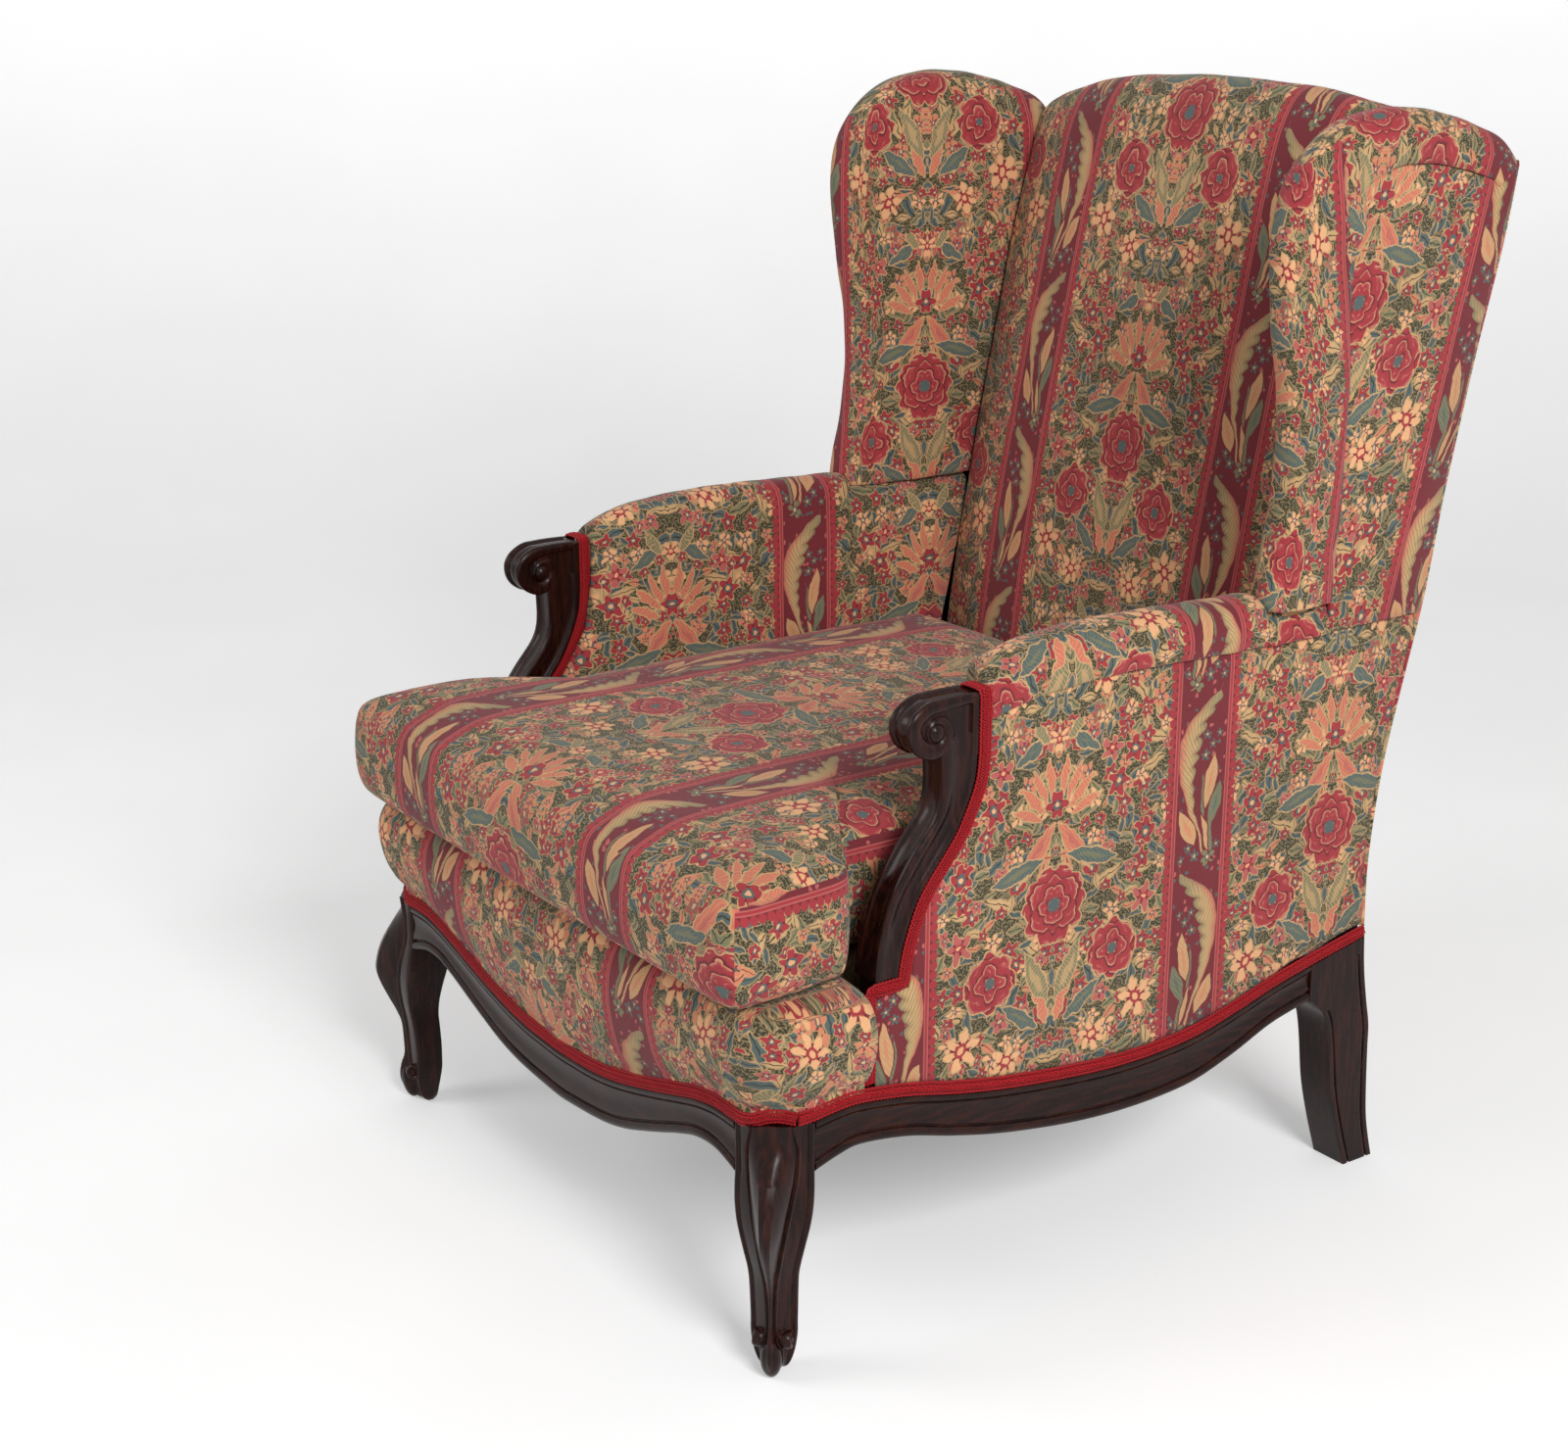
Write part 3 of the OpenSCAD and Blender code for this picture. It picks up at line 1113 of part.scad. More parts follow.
module corner_blocks() {
    front_y = front + rail_t + fit;
    rear_y = post_y - rail_t - fit;
    side_x = inner_r - fit;
    front_x = half_rail - fit;
    rear_x = hw - rear_leg_w - fit;
    beech() difference() {
        for (side = [-1, 1]) mirrored(side) {
            block_prism([[front_x - corner_reach + block - rail_t, front_y], [front_x, front_y],
                [front_x, side_from + fit], [side_x, side_from + fit], [side_x, side_from + corner_reach]]);
            block_prism([[rear_x - corner_reach, rear_y], [rear_x, rear_y], [rear_x, block_y - fit],
                [side_x, block_y - fit], [side_x, block_y - corner_reach]]);
        }
        at_screws() {
            screw_shape(fit);
            translate([0, 0, -screw_l])
                cylinder(r = screw_head_r + fit, h = screw_l + screw_head_h, $fn = round_n);
        }
    }
}

module corner_block_screws() {
    color([.62, .6, .55]) at_screws() {
        screw_shape();
        cylinder(r = screw_head_r, h = screw_head_h, $fn = round_n);
    }
}

module bottom_cloth() {
    z = side_low + side_low_rise + strap_t;
    x = inner_r - fit;
    y = front + rail_t + fit;
    y_rear = post_y - rail_t - fit;
    color([.1, .1, .1]) translate([0, 0, z]) linear_extrude(strap_t) difference() {
        translate([-x, y]) square([x * 2, y_rear - y]);
        for (side = [-1, 1]) {
            translate([side * x, y])
                square([x - half_rail + fit, side_from + fit - y] * 2, center = true);
            translate([side * x, y_rear])
                square([x - hw + rear_leg_w + fit, y_rear - block_y + fit] * 2, center = true);
        }
    }
}

front_rail();
side_rail(1);  // side_rail_left
side_rail(-1);  // side_rail_right
rear_rail();
front_leg(1);  // front_leg_left
front_leg(-1);  // front_leg_right
rear_post(1);  // rear_post_left
rear_post(-1);  // rear_post_right
corner_blocks();
corner_block_screws();
arm_support(1);  // arm_support_left
arm_support(-1);  // arm_support_right
arm_rail(1);  // arm_rail_left
arm_rail(-1);  // arm_rail_right
arm_stay(1);  // arm_stay_left
arm_stay(-1);  // arm_stay_right
wing_stile(1);  // wing_stile_left
wing_stile(-1);  // wing_stile_right
wing_top(1);  // wing_top_left
wing_top(-1);  // wing_top_right
crest_rail();
back_stay();
back_webbing();
seat_webbing();
seat_springs();
spring_hessian();
seat_platform();
seat_front_border();
bottom_cloth();
inside_back();
outside_back();
inside_arm(1);  // inside_arm_left
inside_arm(-1);  // inside_arm_right
outside_arm(1);  // outside_arm_left
outside_arm(-1);  // outside_arm_right
wing(1);  // wing_left
wing(-1);  // wing_right
outside_wing(1);  // outside_wing_left
outside_wing(-1);  // outside_wing_right
gimp_front();
gimp_side(1);  // gimp_side_left
gimp_side(-1);  // gimp_side_right
gimp_arm(1);  // gimp_arm_left
gimp_arm(-1);  // gimp_arm_right
gimp_rear();
seat_cushion();
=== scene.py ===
"""Looks of a bergere armchair: polished mahogany show-wood, striped floral tapestry covers and crimson gimp."""

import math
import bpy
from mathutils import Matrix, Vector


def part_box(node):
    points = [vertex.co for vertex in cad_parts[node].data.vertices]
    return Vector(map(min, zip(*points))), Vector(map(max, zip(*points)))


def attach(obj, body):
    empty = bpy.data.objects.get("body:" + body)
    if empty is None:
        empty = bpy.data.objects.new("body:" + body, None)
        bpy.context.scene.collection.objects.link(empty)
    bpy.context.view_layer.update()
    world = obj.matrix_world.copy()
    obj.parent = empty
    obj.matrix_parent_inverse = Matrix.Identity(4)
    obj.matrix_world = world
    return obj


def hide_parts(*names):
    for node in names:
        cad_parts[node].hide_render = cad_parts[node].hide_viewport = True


bl_info = {
    "name": "Bergere armchair",
    "version": (1, 0, 0),
    "blender": (4, 5, 0),
    "location": "View3D > Sidebar > Armchair",
    "description": "Dresses the armchair's frame with covers, stuffing, braid and finishes",
    "category": "Object",
}

import bmesh
import bpy
import numpy as np
from mathutils import Vector

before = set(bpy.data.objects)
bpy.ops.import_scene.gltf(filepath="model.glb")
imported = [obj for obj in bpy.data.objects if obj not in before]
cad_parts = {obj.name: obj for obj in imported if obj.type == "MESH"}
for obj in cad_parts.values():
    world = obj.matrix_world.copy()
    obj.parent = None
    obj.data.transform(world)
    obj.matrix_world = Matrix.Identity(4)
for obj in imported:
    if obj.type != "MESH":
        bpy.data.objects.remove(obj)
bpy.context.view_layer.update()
SIDES = {"left": 1.0, "right": -1.0}
FINISHES = {}


# Settings


def dye(red, green, blue):
    """Linear colour of a shade given in display levels of 0 to 255."""

    def level(shade):
        shade = shade / 255
        return shade / 12.92 if shade < 0.04045 else ((shade + 0.055) / 1.055) ** 2.4

    return (level(red), level(green), level(blue))


def colour(name, shade, description):
    return bpy.props.FloatVectorProperty(
        name=name, description=description, subtype="COLOR", size=3, min=0, max=1, default=dye(*shade)
    )


def length(name, metres, description):
    return bpy.props.FloatProperty(
        name=name, description=description, default=metres, min=0, precision=4, unit="LENGTH"
    )


def share(name, value, description):
    return bpy.props.FloatProperty(name=name, description=description, default=value, min=0, max=1, subtype="FACTOR")


class TapestrySettings(bpy.types.PropertyGroup):
    """Cloth of all the covers"""

    repeat_across: length("Repeat across", 0.345, "From one stripe to the next")
    repeat_along: length("Repeat along", 0.34, "Height of the floral repeat")
    stripe: length("Stripe", 0.086, "Width of a stripe with its borders")
    thread: length("Thread", 0.0011, "Pitch of the weave")
    ground: colour("Ground", (60, 60, 44), "Olive ground of the floral panels")
    fleck: colour("Fleck", (132, 128, 94), "Light flecks in the ground")
    burgundy: colour("Burgundy", (118, 34, 46), "Field of the stripes")
    crimson: colour("Crimson", (166, 40, 52), "Roses and stripe borders")
    rosy: colour("Rosy", (188, 96, 92), "Light edges of the roses")
    coral: colour("Coral", (214, 134, 96), "Sprays and pods")
    peach: colour("Peach", (234, 186, 132), "Lilies and small flowers")
    gold: colour("Gold", (204, 176, 122), "Outlines of leaves and petals")
    teal: colour("Teal", (86, 110, 112), "Blue-green leaves")
    sage: colour("Sage", (128, 136, 102), "Pale leaves")


class WoodSettings(bpy.types.PropertyGroup):
    """Polished show-wood and the plain frame"""

    polish: colour("Polish", (26, 9, 7), "Dark polished mahogany")
    figure: colour("Figure", (50, 20, 13), "Lighter streaks of the grain")
    worn: colour("Worn", (104, 56, 34), "Wood showing where edges are rubbed")
    wear: share("Wear", 0.45, "How much the edges are rubbed")
    gloss: share("Roughness", 0.16, "Roughness of the polish")
    beech: colour("Beech", (196, 158, 112), "Hidden frame")


class BraidSettings(bpy.types.PropertyGroup):
    """Crimson gimp"""

    # Silk is the crimson painted on the crowns of the threads and shade the crimson painted between them: painted light
    # and painted shade of one dye.
    silk: colour("Silk", (190, 14, 28), "Crimson of the braid")
    shade: colour("Shade", (112, 5, 14), "Crimson deep in the braid")
    width: length("Width", 0.013, "Width of the braid")
    cord: length("Cord", 0.0024, "Thickness of its cords")
    pitch: length("Pitch", 0.0075, "Length of one crossing of the cords")


class StuffingSettings(bpy.types.PropertyGroup):
    """Padding of the cushion and the covers"""

    pressure: bpy.props.FloatProperty(name="Pressure", description="Push of the stuffing", default=4.0, min=0)
    frames: bpy.props.IntProperty(name="Frames", description="Steps of the filling", default=20, min=2)
    cushion_swell: length("Cushion swell", 0.009, "Most that a point of the cushion moves")
    shrink: length("Shrink", 0.004, "How much smaller the filling starts")


class StageSettings(bpy.types.PropertyGroup):
    """Floor, lamps and camera"""

    floor: colour("Floor", (240, 240, 240), "Pale floor and backdrop")
    # The backdrop glows up to 0.2 more than this higher up, as painted light.
    lift: share("Lift", 0.3, "Plain white that the floor and backdrop show")
    key: bpy.props.FloatProperty(name="Key", description="Main lamp", default=108.0, min=0, unit="POWER")
    fill: bpy.props.FloatProperty(name="Fill", description="Second lamp", default=32.0, min=0, unit="POWER")
    sky: bpy.props.FloatProperty(name="Sky", description="Even light from all round", default=0.28, min=0)
    azimuth: bpy.props.FloatProperty(
        name="Azimuth", description="Turn of the camera", default=math.radians(54.843), unit="ROTATION"
    )
    elevation: bpy.props.FloatProperty(
        name="Elevation", description="Camera above the horizon", default=math.radians(17.887), unit="ROTATION"
    )
    lens: bpy.props.FloatProperty(name="Lens", description="Focal length", default=58.5, min=1, unit="CAMERA")


def settings(name):
    """The scene's own values of one group of settings."""
    return getattr(bpy.context.scene, "armchair_" + name)


# Shader nodes

# Sockets of the Mix node when it mixes colours
MIX_UNDER, MIX_OVER, MIX_RESULT = 6, 7, 2


class Net:
    """Places nodes in a tree. Each call returns an output that feeds the next."""

    def __init__(self, tree):
        self.tree = tree

    def node(self, kind, inputs=(), **values):
        made = self.tree.nodes.new(kind)
        for key, value in values.items():
            setattr(made, key, value)
        for key, value in dict(inputs).items():
            self.feed(value, made.inputs[key])
        return made

    def feed(self, value, socket):
        if isinstance(value, bpy.types.NodeSocket):
            self.tree.links.new(value, socket)
        elif value is not None:
            if socket.type == "RGBA" and len(value) == 3:
                value = (*value, 1.0)
            socket.default_value = value

    def sum(self, operation, a, b=None, c=None):
        made = self.node("ShaderNodeMath", operation=operation)
        for socket, value in zip(made.inputs, (a, b, c)):
            self.feed(value, socket)
        return made.outputs[0]

    def add(self, a, b):
        return self.sum("ADD", a, b)

    def less(self, a, b):
        return self.sum("SUBTRACT", a, b)

    def times(self, a, b):
        return self.sum("MULTIPLY", a, b)

    def most(self, a, b):
        return self.sum("MAXIMUM", a, b)

    def least(self, a, b):
        return self.sum("MINIMUM", a, b)

    def size(self, a):
        return self.sum("ABSOLUTE", a)

    def wave(self, a):
        return self.sum("SINE", a)

    def part(self, a):
        return self.sum("FRACT", a)

    def ramp(self, value, low, high, out_low=0.0, out_high=1.0, smooth=True):
        made = self.node(
            "ShaderNodeMapRange",
            {"Value": value, "From Min": low, "From Max": high, "To Min": out_low, "To Max": out_high},
            interpolation_type="SMOOTHSTEP" if smooth else "LINEAR",
        )
        return made.outputs["Result"]

    def within(self, field, edge=0.0004):
        """1 where the field is below 0, fading over the edge."""
        return self.ramp(field, edge, -edge)

    def band(self, field, half, edge=0.0003):
        """1 where the field is within half of 0."""
        return self.ramp(self.less(self.size(field), half), edge, -edge)

    def vector(self, x, y, z=0.0):
        return self.node("ShaderNodeCombineXYZ", {"X": x, "Y": y, "Z": z}).outputs[0]

    def parts(self, vector):
        """The three numbers of a vector, by dot products: the ones that nothing uses cost the renderer nothing."""
        return [self.vectors("DOT_PRODUCT", vector, axis) for axis in ((1, 0, 0), (0, 1, 0), (0, 0, 1))]

    def channels(self, shade):
        """Red, green and blue. A colour is never linked to a vector: Cycles would work such a link out last."""
        return self.node("ShaderNodeSeparateColor", {"Color": shade}).outputs[:]

    def stray(self, vector, scale, amount):
        """Two numbers that wander by up to half the amount either way."""
        red, green, _ = self.channels(self.noise(vector, scale, 2.0, 0.5, "Color"))
        return [self.sum("MULTIPLY_ADD", one, amount, -amount / 2) for one in (red, green)]

    def vectors(self, operation, a, b=None, scale=None):
        made = self.node("ShaderNodeVectorMath", operation=operation)
        self.feed(a, made.inputs[0])
        if b is not None:
            self.feed(b, made.inputs[1])
        if scale is not None:
            self.feed(scale, made.inputs["Scale"])
        return made.outputs["Value"] if operation in ("LENGTH", "DISTANCE", "DOT_PRODUCT") else made.outputs[0]

    def noise(self, vector, scale, detail=2.0, roughness=0.5, output="Fac"):
        return self.node(
            "ShaderNodeTexNoise", {"Vector": vector, "Scale": scale, "Detail": detail, "Roughness": roughness}
        ).outputs[output]

    def blend(self, factor, under, over, kind="MIX"):
        made = self.node("ShaderNodeMix", data_type="RGBA", blend_type=kind)
        self.feed(factor, made.inputs[0])
        self.feed(under, made.inputs[MIX_UNDER])
        self.feed(over, made.inputs[MIX_OVER])
        return made.outputs[MIX_RESULT]

    def shades(self, value, stops, steps=False):
        """Colour of a value between 0 and 1, from rows of place and colour, blended or in steps."""
        made = self.node("ShaderNodeValToRGB", {"Fac": value})
        made.color_ramp.interpolation = "CONSTANT" if steps else "LINEAR"
        points = made.color_ramp.elements
        while len(points) < len(stops):
            points.new(1.0)
        for point, (place, shade) in zip(points, stops):
            point.position = place
            point.color = (*shade, 1.0)
        return made.outputs[0]

    def group(self, name, **inputs):
        made = self.node("ShaderNodeGroup")
        made.node_tree = bpy.data.node_groups[name]
        for key, value in inputs.items():
            self.feed(value, made.inputs[key.replace("_", " ")])
        return made.outputs


def effect(name, inputs, outputs):
    """New shader node group. Inputs are name, kind and default; returns its net, its inputs and a finisher."""
    tree = bpy.data.node_groups.new(name, "ShaderNodeTree")
    for label, kind, value in inputs:
        socket = tree.interface.new_socket(label, in_out="INPUT", socket_type="NodeSocket" + kind)
        if value is not None:
            socket.default_value = (*value, 1.0) if kind == "Color" else value
    for label, kind in outputs:
        tree.interface.new_socket(label, in_out="OUTPUT", socket_type="NodeSocket" + kind)
    net = Net(tree)
    given = net.node("NodeGroupInput").outputs
    end = net.node("NodeGroupOutput")

    def finish(**made):
        for label, value in made.items():
            net.feed(value, end.inputs[label])

    return net, given, finish


def leaf_group():
    """Leaf with two curved edges, lying along its angle. Its field is below 0 inside."""
    net, given, finish = effect(
        "leaf",
        [("Local", "Vector", None), ("Angle", "Float", 0.0), ("Length", "Float", 0.02), ("Width", "Float", 0.006)],
        [("Field", "Float"), ("Across", "Float")],
    )
    turned = net.node(
        "ShaderNodeVectorRotate", {"Vector": given["Local"], "Angle": given["Angle"]}, rotation_type="Z_AXIS"
    )
    x, y, _ = net.parts(turned.outputs[0])
    along = net.sum("DIVIDE", x, given["Length"])
    bulge = net.less(1.0, net.times(along, along))
    beside = net.less(net.size(y), net.times(bulge, given["Width"]))
    finish(
        Field=net.most(beside, net.less(net.size(x), given["Length"])),
        Across=net.sum("DIVIDE", y, given["Width"]),
    )


def bloom_group():
    """Small open flower with rounded petals. Its field is below 0 inside."""
    notch = 0.22
    net, given, finish = effect(
        "bloom",
        [("Local", "Vector", None), ("Angle", "Float", 0.0), ("Radius", "Float", 0.01), ("Petals", "Float", 5.0)],
        [("Field", "Float"), ("Reach", "Float"), ("Petal", "Float")],
    )
    x, y, _ = net.parts(given["Local"])
    reach = net.vectors("LENGTH", given["Local"])
    turn = net.add(net.times(net.sum("ARCTAN2", y, x), given["Petals"]), given["Angle"])
    petal = net.sum("COSINE", turn)
    edge = net.times(given["Radius"], net.add(1 - notch, net.times(petal, notch)))
    finish(Field=net.less(reach, edge), Reach=net.sum("DIVIDE", reach, given["Radius"]), Petal=petal)


def rose_group():
    """Rose of scalloped rings of petals. Its field is below 0 inside, and its fold runs from 0 to 1 over each petal."""
    notch, wander, scallops, stagger = 0.14, 0.18, 0.55, 1.7
    net, given, finish = effect(
        "rose",
        [("Local", "Vector", None), ("Radius", "Float", 0.03), ("Rings", "Float", 3.0), ("Petals", "Float", 5.0)],
        [("Field", "Float"), ("Fold", "Float"), ("Reach", "Float")],
    )
    x, y, _ = net.parts(given["Local"])
    reach = net.sum("DIVIDE", net.vectors("LENGTH", given["Local"]), given["Radius"])
    angle = net.sum("ARCTAN2", y, x)
    ring = net.times(reach, given["Rings"])
    step = net.sum("FLOOR", net.add(ring, net.times(net.wave(net.times(angle, given["Petals"])), wander)))
    half_turns = net.times(angle, net.times(given["Petals"], 0.5))
    scallop = net.size(net.wave(net.add(half_turns, net.times(step, stagger))))
    fold = net.part(net.less(ring, net.times(scallop, scallops)))
    petal = net.size(net.sum("COSINE", net.times(angle, given["Petals"])))
    rim = net.add(1 - notch, net.times(petal, notch))
    finish(Field=net.times(net.less(reach, rim), given["Radius"]), Fold=fold, Reach=reach)


def weave_group():
    """Threads of the cloth: ribs across and warp along, as a height and as a shade that follows it, painted shade of
    the weave's relief with slub.
    """
    net, given, finish = effect(
        "weave", [("Cloth", "Vector", None), ("Thread", "Float", 0.0011)], [("Shade", "Float"), ("Height", "Float")]
    )
    u, v, _ = net.parts(given["Cloth"])
    turn, warp_pitch, offset = 2 * math.pi, 1.35, 1.4
    weft = net.sum("DIVIDE", net.times(v, turn), given["Thread"])
    warp = net.sum("DIVIDE", net.times(u, turn), net.times(given["Thread"], warp_pitch))
    under = net.sum("SIGN", net.wave(net.times(warp, 0.5)))
    ribs = net.wave(net.add(weft, net.times(under, offset)))
    height = net.add(net.times(ribs, 0.5), net.times(net.wave(warp), 0.5))
    slub = net.noise(net.vector(net.times(u, 0.25), v), 900.0, 1.0)
    # The shade is painted shade in the hollows of the weave and painted light on its ribs, plus slub that differs at
    # random.
    finish(Shade=net.add(net.times(height, 0.5), net.less(slub, 0.5)), Height=height)


# Pattern of the tapestry, in metres. Colours go by the names of its settings.
TONES = ("ground", "fleck", "burgundy", "crimson", "rosy", "coral", "peach", "gold", "teal", "sage")
# Where each colour starts on a random number
LEAF_TONES = ((0.0, "teal"), (0.3, "sage"), (0.5, "gold"), (0.62, "teal"), (0.8, "coral"), (0.9, "sage"))
BLOOM_TONES = ((0.0, "crimson"), (0.35, "coral"), (0.55, "peach"), (0.7, "crimson"), (0.85, "rosy"))
BERRY_TONES = ((0.0, "rosy"), (0.6, "teal"))
# Where each colour lies over a petal of a rose, and across a curled leaf
ROSE_TONES = (
    (0.0, "burgundy"), (0.14, "burgundy"), (0.3, "crimson"), (0.72, "crimson"), (0.9, "rosy"), (1.0, "peach")
)
CURL_TONES = ((0.0, "sage"), (0.3, "gold"), (0.66, "gold"), (0.86, "coral"), (1.0, "rosy"))
# Strewn leaves: size of their cells, seed, length and width
STREWN_LEAVES = ((0.019, 3.1, 0.01, 0.0035), (0.024, 9.7, 0.0145, 0.0048), (0.0175, 17.3, 0.0088, 0.003))
# Strewn flowers: size of their cells, seed, radius and share of the cells left empty
STREWN_BLOOMS = ((0.028, 5.9, 0.0098, 0.3), (0.022, 21.7, 0.0068, 0.35))
EMPTY_OF_LEAVES, EMPTY_OF_BERRIES, GATE = 0.28, 0.66, 0.02
# Leaves of the panel: colour, colour of the veins, and each leaf's middle, angle, length and width
PANEL_LEAVES = (
    ("coral", "rosy", (
        (0.022, 0.052, 0.9, 0.03, 0.008), (0.012, -0.09, -1.25, 0.024, 0.0055), (0.032, 0.09, -0.35, 0.018, 0.0042),
        (0.028, 0.103, -0.75, 0.019, 0.004), (0.019, 0.112, -1.1, 0.019, 0.004), (0.008, 0.118, -1.38, 0.019, 0.004))),
    ("teal", "sage", (
        (0.043, 0.038, 0.2, 0.03, 0.008), (0.036, -0.098, -0.6, 0.024, 0.007), (0.03, 0.147, 0.5, 0.019, 0.006))),
    ("sage", "gold", ((0.018, -0.066, -1.1, 0.03, 0.0085), (0.02, 0.161, -0.9, 0.014, 0.005))),
)
# Flowers of the panel: colour, colour of the heart, petals, and each flower's middle and radius
PANEL_BLOOMS = (
    ("crimson", "teal", 5.0, (
        (0.071, 0.101, 0.0145), (0.089, 0.128, 0.013), (0.105, 0.048, 0.0135), (0.0, 0.094, 0.0135))),
    ("rosy", "crimson", 5.0, ((0.062, 0.134, 0.0125), (0.106, -0.016, 0.015))),
    ("peach", "crimson", 6.0, ((0.102, -0.113, 0.02), (0.05, -0.138, 0.016), (0.0, 0.153, 0.011))),
)
# Roses of the panel: middle, radius, rings and petals
PANEL_ROSES = ((0.071, -0.058, 0.029, 2.6, 4.0), (0.0, 0.0, 0.037, 3.2, 5.0))
# Stripe: how far inside its edge the dots and the thin lines lie, and where the field starts
DOT_IN, DOT_PITCH, DOT_RADIUS, BORDER_IN = 0.0045, 0.0088, 0.0042, 0.005
STRIPE_LINES = ((0.0088, "rosy"), (0.0102, "crimson"), (0.0126, "rosy"), (0.0138, "burgundy"))
FIELD_IN = 0.0145
STRIPE_BLOOMS = ("teal", "sage", 5.0, (
    (-0.003, 0.105, 0.0058), (-0.012, 0.115, 0.0052), (-0.005, 0.124, 0.0048), (-0.019, 0.124, 0.0042),
    (0.004, 0.01, 0.0064), (0.014, 0.018, 0.005), (0.022, 0.008, 0.0045), (-0.022, 0.016, 0.0046)))
STRIPE_LEAVES = (
    ("sage", "teal", (
        (-0.0135, 0.024, -1.45, 0.022, 0.0035), (-0.0185, 0.056, 1.28, 0.021, 0.0066),
        (-0.004, 0.066, -1.5, 0.022, 0.003), (0.021, 0.128, 1.5, 0.013, 0.003))),
    ("gold", "coral", (
        (-0.0115, 0.08, 1.4, 0.026, 0.0068), (0.0155, 0.038, -1.1, 0.021, 0.0076),
        (-0.008, 0.03, -1.3, 0.02, 0.0028))),
)
CURL_ENDS = ("sage", "teal", 4.0, ((-0.0125, 0.004, 0.009), (0.0125, 0.174, 0.009)))


class Drawing:
    """Lays motifs over each other in a net. Its colour is what has been drawn so far."""

    def __init__(self, net, tone, under):
        self.net, self.tone, self.colour = net, tone, under

    def lay(self, mask, shade, gate=None):
        if gate is not None:
            mask = self.net.times(mask, gate)
        self.colour = self.net.blend(mask, self.colour, shade)

    def stops(self, rows):
        return [(place, self.tone[name]) for place, name in rows]

    def scatter(self, where, size, seed, random=0.85):
        """Cells with their own middle and three random shares."""
        net = self.net
        shifted = net.vectors("ADD", net.vectors("SCALE", where, scale=1 / size), (seed, seed * 0.7, 0))
        cells = net.node(
            "ShaderNodeTexVoronoi", {"Vector": shifted, "Scale": 1.0, "Randomness": random}, voronoi_dimensions="2D"
        )
        local = net.vectors("SCALE", net.vectors("SUBTRACT", shifted, cells.outputs["Position"]), scale=size)
        return local, net.channels(cells.outputs["Color"])

    def strewn_leaves(self, where):
        net, tone = self.net, self.tone
        for size, seed, long, wide in STREWN_LEAVES:
            local, (angle, pick, chance) = self.scatter(where, size, seed)
            gate = net.ramp(chance, EMPTY_OF_LEAVES, EMPTY_OF_LEAVES + GATE)
            leaf = net.group("leaf", Local=local, Angle=net.times(angle, 2 * math.pi), Length=long, Width=wide)
            self.lay(net.times(net.within(net.less(leaf["Field"], 0.0008), 0.0006), 0.7), tone["gold"], gate)
            vein = net.band(leaf["Across"], 0.12, 0.08)
            body = net.blend(vein, net.shades(pick, self.stops(LEAF_TONES), True), tone["ground"])
            self.lay(net.within(net.add(leaf["Field"], 0.0004)), body, gate)

    def strewn_blooms(self, where):
        net, tone = self.net, self.tone
        for size, seed, radius, empty in STREWN_BLOOMS:
            local, (angle, pick, chance) = self.scatter(where, size, seed, 0.75)
            gate = net.ramp(chance, empty, empty + GATE)
            bloom = net.group("bloom", Local=local, Angle=net.times(angle, 6.0), Radius=radius, Petals=5.0)
            self.lay(net.times(net.within(net.less(bloom["Field"], 0.001), 0.0006), 0.75), tone["gold"], gate)
            body = net.shades(pick, self.stops(BLOOM_TONES), True)
            body = net.blend(net.ramp(bloom["Petal"], -0.35, -0.7), body, tone["burgundy"])
            body = net.blend(net.ramp(bloom["Reach"], 0.36, 0.28), body, tone["teal"])
            body = net.blend(net.ramp(bloom["Reach"], 0.2, 0.14), body, tone["peach"])
            self.lay(net.within(bloom["Field"]), body, gate)

    def leaves(self, where, row, rim="gold", gate=None):
        """Leaves of one colour with hatched veins."""
        net, tone = self.net, self.tone
        fill, line, places = row
        field = None
        for x, y, angle, long, wide in places:
            local = net.vectors("SUBTRACT", where, (x, y, 0.0))
            leaf = net.group("leaf", Local=local, Angle=angle, Length=long, Width=wide)
            field = leaf["Field"] if field is None else net.least(field, leaf["Field"])
        self.lay(net.within(net.less(field, 0.0013)), tone[rim], gate)
        x, y, _ = net.parts(where)
        veins = net.wave(net.add(net.times(x, 1400.0), net.times(y, 1150.0)))
        body = net.blend(net.ramp(veins, 0.1, 0.9, 0.0, 0.6), tone[fill], tone[line])
        body = net.blend(net.ramp(field, -0.0042, -0.0062, 0.0, 0.7), body, tone[line])
        self.lay(net.within(field), body, gate)

    def blooms(self, where, row, rim="gold", gate=None):
        """Flowers of one colour, drawn together: each point takes the flower that is nearest to it for its size."""
        net, tone = self.net, self.tone
        fill, heart, petals, places = row
        size = sum(radius for _, _, radius in places) / len(places)
        best = nearest = None
        for x, y, radius in places:
            local = net.vectors("SCALE", net.vectors("SUBTRACT", where, (x, y, 0.0)), scale=size / radius)
            reach = net.vectors("LENGTH", local)
            if best is None:
                best, nearest = local, reach
            else:
                pick = net.sum("LESS_THAN", reach, nearest)
                best = net.vectors("ADD", best, net.vectors("SCALE", net.vectors("SUBTRACT", local, best), scale=pick))
                nearest = net.least(nearest, reach)
        bloom = net.group("bloom", Local=best, Angle=size * 900.0, Radius=size, Petals=petals)
        self.lay(net.within(net.less(bloom["Field"], 0.0012)), tone[rim], gate)
        body = net.blend(net.ramp(bloom["Petal"], -0.3, -0.75), tone[fill], tone["burgundy"])
        body = net.blend(net.ramp(bloom["Reach"], 0.4, 0.32), body, tone[heart])
        body = net.blend(net.ramp(bloom["Reach"], 0.22, 0.16), body, tone["peach"])
        self.lay(net.within(bloom["Field"]), body, gate)

